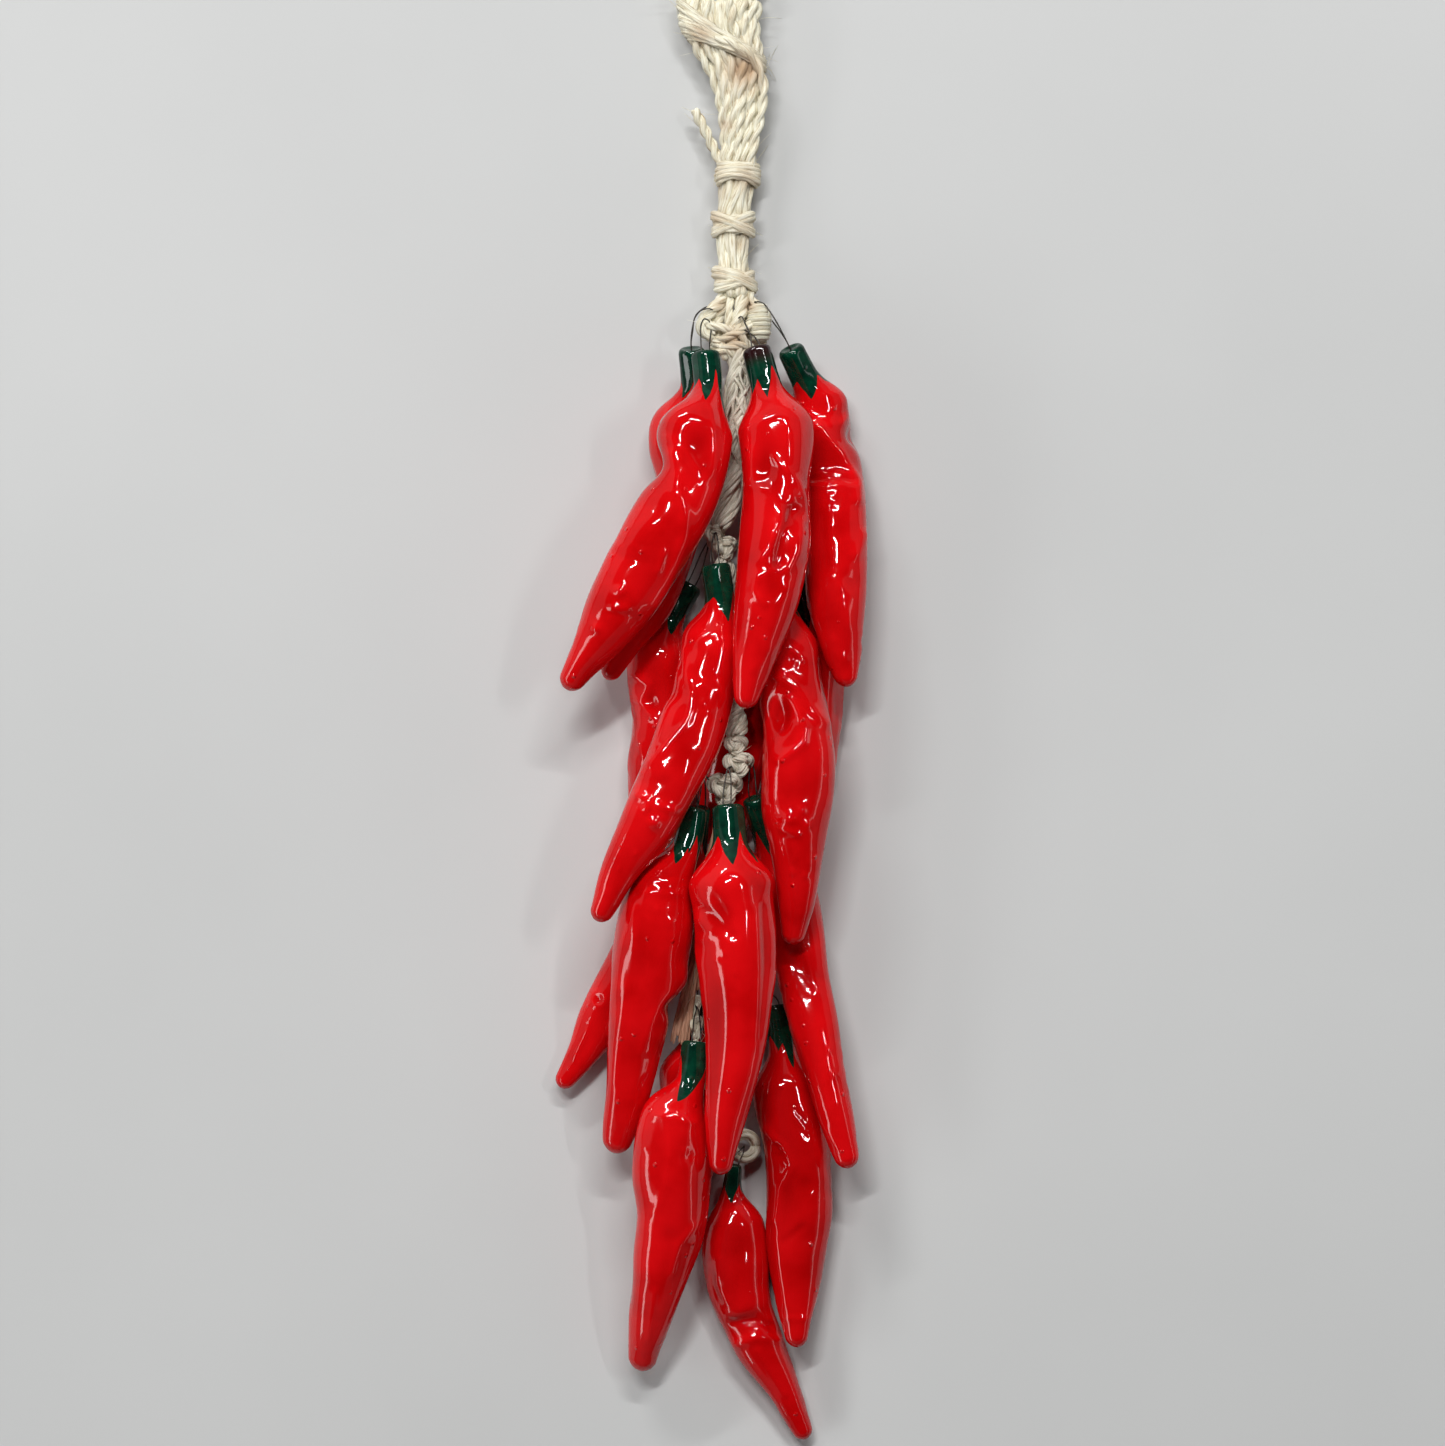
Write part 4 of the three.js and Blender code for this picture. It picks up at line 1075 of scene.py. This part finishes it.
def make_wrap(material):
    """Flat frayed fibres that run slantwise round the neck's top and draw together to the right."""
    strands = Strands(3)
    strands.cord(resampled(WRAP_CORD, 0.8), 2.2, pitch=17)
    angle = np.linspace(-np.pi, np.pi, 110)
    spread = WRAP_HEIGHT / 2 * round_trip(angle, 1.35, 0.6, 0.42, 1)
    drawn_in = 1.4 * np.clip(np.sin(angle), 0, 1) ** 4
    for k in range(WRAP_FIBRES):
        share = 2 * k / (WRAP_FIBRES - 1) - 1
        phase = strands.rng.uniform(0, 2 * np.pi)
        wander = strands.rng.uniform(0.3, 1.1) * np.sin(1.5 * angle + phase)
        out = strands.rng.uniform(0, 0.8) + 0.3 * np.sin(2 * angle + phase) - drawn_in
        y = WRAP_MIDDLE + (share * spread + wander) - WRAP_DIP * np.sin(angle)
        path, facing = band_ring(angle, y, out)
        half_width = strands.rng.uniform(0.7, 1.25)
        strands.tube(path, half_width, sides=8, flat=0.4, facing=facing, ridges=0.12)
    return strands.finish("wrap_fibres", material, "fibre_wrap")


# Turns of each binding, as [height above the band's middle at the left, front, right and back,
# distance out, strand half-width].
BINDING_TURNS = {
    "binding_upper": [
        [3.4, 3, 2.4, 2.5, 0.4, 1.5], [0.6, 1.6, 0.2, 1, 0.9, 1.7], [-1.6, 0.2, -3, -1, 1.2, 1.6],
        [-3.6, -0.8, -4.4, -2.4, 0.5, 1.3], [3, -1.4, 1, 1, 0.2, 1.1],
    ],
    "binding_middle": [
        [3.8, 0.4, -3.8, 1, 1.4, 1.7], [-3.4, 0.2, 3.4, -1, 0.8, 1.8], [0.4, 2, 1.6, 2.4, 0.2, 1.4],
        [-0.6, -2, -1.2, -2.4, 0.4, 1.4], [2.2, 1.2, -2.2, 0, 1, 1.1],
    ],
    "binding_lower": [
        [0.8, -1, -5.4, -2.6, 1.3, 2], [-5.4, -3.8, -0.4, -2.6, 0.8, 1.9],
        [-2.2, -2.4, -3.2, -2.6, 0.3, 1.9], [1.4, 0.6, -1.6, 0, 0.1, 1.3],
    ],
}


def make_binding(name, seed, material):
    """Flat strands of fibre that cross over each other as they go round the neck."""
    strands = Strands(seed)
    angle = np.linspace(-np.pi, np.pi, 70)
    for *heights, out, half_width in BINDING_TURNS[name]:
        rise = round_trip(angle, *heights)
        path, facing = band_ring(angle, BINDING_MIDDLES[name] + rise, out)
        facing = facing + np.array([0, 0.25, 0]) * rise[:, None] / 4
        for lane in (-0.5, 0.5):
            beside = path + np.array([0, 1, 0]) * (lane * half_width)
            strands.tube(beside, half_width * 0.78, sides=10, flat=0.85, facing=facing, ridges=0.1)
    return strands.finish(name + "_turns", material, name)


# The top knot's strands, as [radius, [x, y, height], ...].
TOP_KNOT_STRANDS = [
    [3.2, [4, 182, 14], [0.5, 174, 16], [-2.5, 167, 17], [-1, 159, 18.5], [3, 152, 20]],
    [3.4, [8, 182, 13.5], [10, 173, 15.5], [9.5, 165, 17], [7, 157, 19], [6, 151, 20]],
    [2.9, [2, 180, 15], [-1.5, 174.5, 18], [-6, 170, 20], [-8.6, 166, 20.5], [-7, 162.5, 21],
     [-3, 161.5, 22]],
    [1.9, [-8, 167.5, 19.5], [-5, 165.5, 23], [0, 164.5, 24.5], [4, 163, 24.5]],
    [1.8, [3.6, 180, 16.5], [3, 174, 20], [2.4, 167, 22.6], [2, 160.5, 22]],
    [3, [8, 181, 16.5], [8, 174, 20.5], [6.6, 167.5, 23], [4.6, 161.5, 23], [3, 157, 21]],
    [2.1, [11, 181, 16], [12.4, 175.6, 18.5], [16.5, 172.8, 20], [18.6, 169.5, 20.5],
     [16.5, 165.5, 22]],
    [1.9, [-6.6, 161, 19], [-2, 159.5, 22], [4, 161.5, 25], [9, 163.5, 25.2], [12.5, 167, 23]],
    [1.7, [3, 165.5, 24], [8, 161, 25], [10.6, 157, 23.5], [11.5, 153.5, 21]],
    [2.1, [-4.5, 152.5, 18.5], [-1.5, 154.8, 21.5], [3, 156.6, 23.6], [8, 157.4, 24],
     [12.5, 156.6, 21.5]],
    [1.8, [-5, 157, 19], [-1, 157.5, 22], [3, 155, 23], [6, 152, 22]],
]
COIL_TURNS = 8
COIL_STRAND_RADIUS = 1.12
COIL_CORE_RADIUS = 3.9


def make_top_knot(material):
    """Thick strands that part below the lower binding, and cross above a wound coil."""
    strands = Strands(20)
    for radius, *points in TOP_KNOT_STRANDS:
        strands.cord(resampled(points, 0.8), radius, pitch=16, plies=3, phase=radius * 5, sides=9)
    x, y, z, half_width, half_length, half_thickness = TOP_KNOT_COIL
    t = np.linspace(0, 1, COIL_TURNS * 22)
    turn = 2 * np.pi * COIL_TURNS * t
    bulge = np.sqrt(np.clip(1 - (2 * t - 1) ** 2 * 0.6, 0, 1)) * (1 + 0.05 * np.sin(turn * 0.37))
    coil = np.stack([
        x + (half_width - 0.6) * bulge * np.cos(turn),
        y + half_length * 0.86 * (1 - 2 * t) + 0.5 * np.sin(turn),
        z + (half_thickness - 1) * bulge * np.sin(turn),
    ], axis=-1)
    strands.tube(coil, COIL_STRAND_RADIUS, sides=8)
    core = [[x, y + 8, z], [x, y + 3, z], [x, y - 3, z], [x - 1, y - 7, z]]
    strands.tube(resampled(core, 1), COIL_CORE_RADIUS, sides=12)
    return strands.finish("top_knot_strands", material, "knot_top")


def make_knot(name, seed, radius, material):
    """Overhand knots of a soft cord, one in each lobe."""
    strands = Strands(seed)
    for number, lobe in enumerate(KNOTS[name]):
        path = trefoil(lobe, radius, number * 1.3)
        strands.cord(path, radius, pitch=16, plies=3, phase=number, sides=6, strands=4)
    return strands.finish(name + "_strands", material, name)


LOOSE_STRANDS = 14               # strands of a hank that stray over it
HANK_TUCK = 2.5                  # how far a hank runs on into the knot at each end


def make_hank(name, stations, seed, pitch, material):
    """A thick soft rope of two plies, each a loose twist, with loose strands that cross it."""
    strands = Strands(seed)
    rng = strands.rng
    at, centre, side, front, half_width, half_thickness = rope_frame(stations, 0.9)
    for _ in range(LOOSE_STRANDS):
        first = rng.integers(0, len(at) * 2 // 3)
        part = slice(first, first + rng.integers(14, 34))
        turn = (rng.uniform(-1.3, 1.3) + 2 * np.pi * at / pitch * rng.uniform(-0.3, 0.5)
                + 0.5 * np.sin(at / rng.uniform(3, 7) + rng.uniform(0, 6)))
        loose = shifted(centre, side, front, half_width * 0.93 * np.sin(turn),
                        half_thickness * np.cos(turn))
        strands.tube(loose[part], rng.uniform(0.5, 1.0), sides=6, ridges=0.12, taper=3)
    ends = tangents(centre)[[0, -1]] * HANK_TUCK
    centre = np.concatenate([[centre[0] - ends[0]], centre, [centre[-1] + ends[1]]])
    radius = np.pad((half_width + half_thickness) / 2, 1, mode="edge")
    strands.cord(centre, radius, pitch=pitch, phase=seed, strands=6, sides=8)
    return strands.finish(name + "_cords", material, name)


RIBBON_LANES = (-0.42, 0.1, 0.45)               # of the lower strand, in shares of its half-width
# The frayed brown fibres that hang off the lower strand, from its foot to their tips.
FRAY_ROUTE = [[-11, -97, 20], [-13.5, -109, 21], [-16, -121, 21.5], [-18.5, -136, 21]]
FRAY_FIBRES = 7


def make_lower_strand(material):
    """Flat, hardly twisted bundles of brown fibre, with a frayed ribbon beside them."""
    strands = Strands(30)
    at, centre, side, front, half_width = rope_frame(LOWER_STRAND, 1.0)
    for k, across in enumerate(RIBBON_LANES):
        sway = across * half_width + 0.5 * np.sin(at / 9 + k * 2)
        path = centre + side * sway[:, None] + front * (0.9 * (k - 1))
        facing = front + side * (0.35 * np.sin(at / 14 + k))[:, None]
        strands.tube(path, half_width * 0.62, sides=10, flat=0.42, facing=facing, ridges=0.16)
    route = resampled(FRAY_ROUTE, 1.0)
    fanned = np.linspace(0, 1, len(route)) ** 0.8
    for k in range(FRAY_FIBRES):
        share = 2 * k / (FRAY_FIBRES - 1) - 1
        path = route + np.stack([share * (0.8 + 3 * fanned), 0.6 * share * fanned,
                                 0.5 * np.sin(k * 2 + 5 * fanned)], axis=-1)
        short = len(path) - strands.rng.integers(0, 7)
        strands.tube(path[:short], 0.85, sides=8, flat=0.35, ridges=0.15, taper=8,
                     facing=np.tile([0.2, 0, 1.0], (short, 1)))
    return strands.finish("lower_strand_fibres", material, "rope_lower_strand")


def make_tail_strand(material):
    """A cord that runs into the ring's upper left side."""
    strands = Strands(31)
    x, y, z = END_RING["centre"]
    route = resampled([*TAIL_STRAND, [x - 3.6, y + 4.2, z - 1]], 0.8)
    strands.cord(route, 2.5, pitch=17, strands=3)
    return strands.finish("tail_cord", material, "rope_tail_strand")


RING_STRANDS = 9                 # thin strands side by side round the end ring


def make_end_ring(material):
    """Thin strands that run round the ring side by side, and cross a little."""
    strands = Strands(32)
    thick = (END_RING["outer"] - END_RING["hole"]) / 2
    middle = END_RING["hole"] + thick
    sweep = np.linspace(0, 2 * np.pi, 60)
    for k in range(RING_STRANDS):
        phase, half_width = strands.rng.uniform(0, 2 * np.pi), strands.rng.uniform(0.8, 1.15)
        lane = 2 * np.pi * k / RING_STRANDS + 0.5 * np.sin(sweep + phase)
        reach = middle + (thick - half_width) * np.cos(lane)
        rise = (END_RING["thickness"] / 2 - half_width) * np.sin(lane)
        circle = np.stack([reach * np.cos(sweep), reach * np.sin(sweep), rise], axis=-1)
        strands.tube(np.array(END_RING["centre"]) + circle, half_width, sides=8, ridges=0.1)
    return strands.finish("end_ring_coil", material, "end_ring")


def make_loose_end(material):
    strands = Strands(33)
    strands.cord(resampled(LOOSE_END, 0.6), 2.4, pitch=11)
    return strands.finish("loose_end_cord", material, "loose_cord_end")


def make_stray_fibres(sources, material):
    """Hairs that stand off the strands. A source is (strands, number of hairs, their length)."""
    strands = Strands(40)
    rng = strands.rng
    for source, count, reach in sources:
        for _ in range(count):
            path, radius = source.roots[rng.integers(len(source.roots))]
            i = rng.integers(1, len(path) - 1)
            along = tangents(path)[i] * rng.choice([-1, 1])
            out = rng.normal(size=3)
            out -= (out @ along) * along
            out /= np.linalg.norm(out)
            length = reach * rng.uniform(0.4, 1.3)
            lift = rng.uniform(0.15, 0.75)
            s = np.linspace(0, 1, 7)[:, None]
            curl = rng.normal(size=3) * 0.25 * length
            hair = (path[i] + out * radius[i] * 0.85 + along * s * length
                    + out * s ** 1.6 * length * lift + curl * s ** 2)
            hair[:, 2] = np.maximum(hair[:, 2], REST_LEVEL + 0.2)
            strands.tube(hair, rng.uniform(0.07, 0.13), sides=3, ridges=0, taper=length / 2)
    make_object("stray_fibres", np.concatenate(strands.vertices), strands.faces, material,
                uvs=np.concatenate(strands.uvs))


# ---------------- wires

HOOK_DEPTH = 4.5                 # how far a hairpin's bend goes into the rope
LEG_DEPTH = 1.5                  # how far its legs go into the stem's cut top
SIDEWAYS_WIRES = ["1_left_back", "1_right"]     # one leg is behind the other
# Where the uppermost wires run over and through the top knot, from one leg to the other.
WIRE_ROUTES = {
    "1_left_back": [
        [-12.4, 163, 24.2], [-11.5, 168.5, 23.4], [-9, 171.6, 23.6], [-5.4, 172.4, 23.2],
        [-3.4, 171.4, 20], [-6, 173.5, 16.5], [-10.6, 170.5, 18.5], [-12.6, 164, 22],
    ],
    "1_left": [
        [-9, 160, 32], [-8.9, 165.4, 29.5], [-7.7, 167.9, 27.6], [-5.8, 167.4, 25], [-4.8, 165, 22],
        [-4.8, 162.6, 26], [-5.2, 159, 30],
    ],
    "1_centre": [
        [11.6, 161, 30.5], [9.4, 166, 28], [8, 168.9, 27.4], [6.6, 168.3, 25.6], [6.8, 165.5, 22.5],
        [9.4, 163.4, 26.5], [13.6, 160, 30.5],
    ],
    "1_right": [
        [24, 164, 25], [19.4, 171.6, 24], [17, 174.6, 23], [13.8, 175.4, 21], [13, 172, 16.5],
        [17.5, 170.5, 16.5], [22.5, 165, 21],
    ],
}
ROPE_MIDDLE = [
    point[:3]
    for piece in (NECK, UPPER_BRAID, MIDDLE_BRAID, LOWER_STRAND, TAIL_STRAND, TOP_KNOT_BUNCHES,
                  [TOP_KNOT_COIL, END_RING["centre"]], *KNOTS.values())
    for point in piece
]


def make_wire(name, material):
    """A hairpin that hooks through the rope, with its legs in the stem's cut top."""
    pod = PODS[name]
    _, axis, _, _ = pod_curve(pod)
    top = axis(np.array([0.0]))[0]
    down = directions(axis, np.array([1.0]), 50)[0]
    side, front = axes_across(down)
    across = front if name in SIDEWAYS_WIRES else side
    bend = np.array(pod["bend"], float)
    to_rope = min((np.array(point) - bend for point in ROPE_MIDDLE), key=np.linalg.norm)
    eye = bend + to_rope * min(1, HOOK_DEPTH / np.linalg.norm(to_rope))

    def leg(sign, depth):
        return top + down * depth + across * (sign * WIRE_LEG_SPACING / 2)

    def shoulder(sign):
        foot = leg(sign, -0.7)
        return foot + (bend - foot) * 0.75 + across * (sign * 0.6)

    plain = [shoulder(-1), bend - across * 0.4, eye, bend + across * 0.4, shoulder(1)]
    route = WIRE_ROUTES.get(name, plain)
    points = [leg(-1, LEG_DEPTH), leg(-1, -0.7), *route, leg(1, -0.7), leg(1, LEG_DEPTH)]
    strands = Strands(50)
    strands.tube(resampled(points, 0.6), WIRE_RADIUS, sides=8, ridges=0, taper=0.01)
    make_object("hairpin_" + name, np.concatenate(strands.vertices), strands.faces, material,
                "wire_" + name)


# ---------------- assembly

make_camera()
make_lights()
glaze = glaze_material()
wire = wire_material()
sisal = sisal_material("sisal", (0.90, 0.88, 0.74), (0.77, 0.72, 0.54), (0.47, 0.36, 0.23))
# A greyer, darker copy of the sisal for the braids and the middle and lower knots: partly the
# cord's own grey, partly painted shade where they lie among the pods.
grey_shaded_sisal = sisal_material("grey_shaded_sisal", (0.80, 0.77, 0.66), (0.62, 0.57, 0.45),
                            (0.33, 0.26, 0.18))
brown_sisal = sisal_material("brown_sisal", (0.64, 0.36, 0.24), (0.54, 0.28, 0.17),
                             (0.34, 0.15, 0.08))

for number, name in enumerate(PODS):
    make_pod(name, 100 + number, glaze)
    make_wire(name, wire)

neck = make_neck(sisal)
loop = make_loop(sisal)
wrap = make_wrap(sisal)
bindings = [make_binding(name, 10 + i, sisal) for i, name in enumerate(BINDING_TURNS)]
top_knot = make_top_knot(sisal)
knots = [
    make_knot("knot_middle", 21, 2.3, grey_shaded_sisal),
    make_knot("knot_lower", 22, 2.5, grey_shaded_sisal),
    make_knot("knot_tail", 23, 1.4, sisal),
]
hanks = [
    make_hank("rope_upper_braid", UPPER_BRAID, 24, 46, grey_shaded_sisal),
    make_hank("rope_middle_braid", MIDDLE_BRAID, 25, 26, grey_shaded_sisal),
]
lower = make_lower_strand(brown_sisal)
tail = make_tail_strand(sisal)
end_ring = make_end_ring(sisal)
loose_end = make_loose_end(sisal)
make_stray_fibres([
    (neck, 90, 9), (loop, 70, 7), (wrap, 60, 12), (top_knot, 30, 7), (loose_end, 10, 6),
    *[(binding, 12, 7) for binding in bindings], *[(knot, 16, 6) for knot in knots],
    *[(hank, 30, 6) for hank in hanks], (lower, 12, 8), (tail, 8, 6), (end_ring, 8, 6),
], sisal)

bpy.ops.mesh.primitive_plane_add(size=8, location=(0, 0, 0))
floor = bpy.context.active_object
floor.name = "floor"
floor.data.materials.append(floor_material())
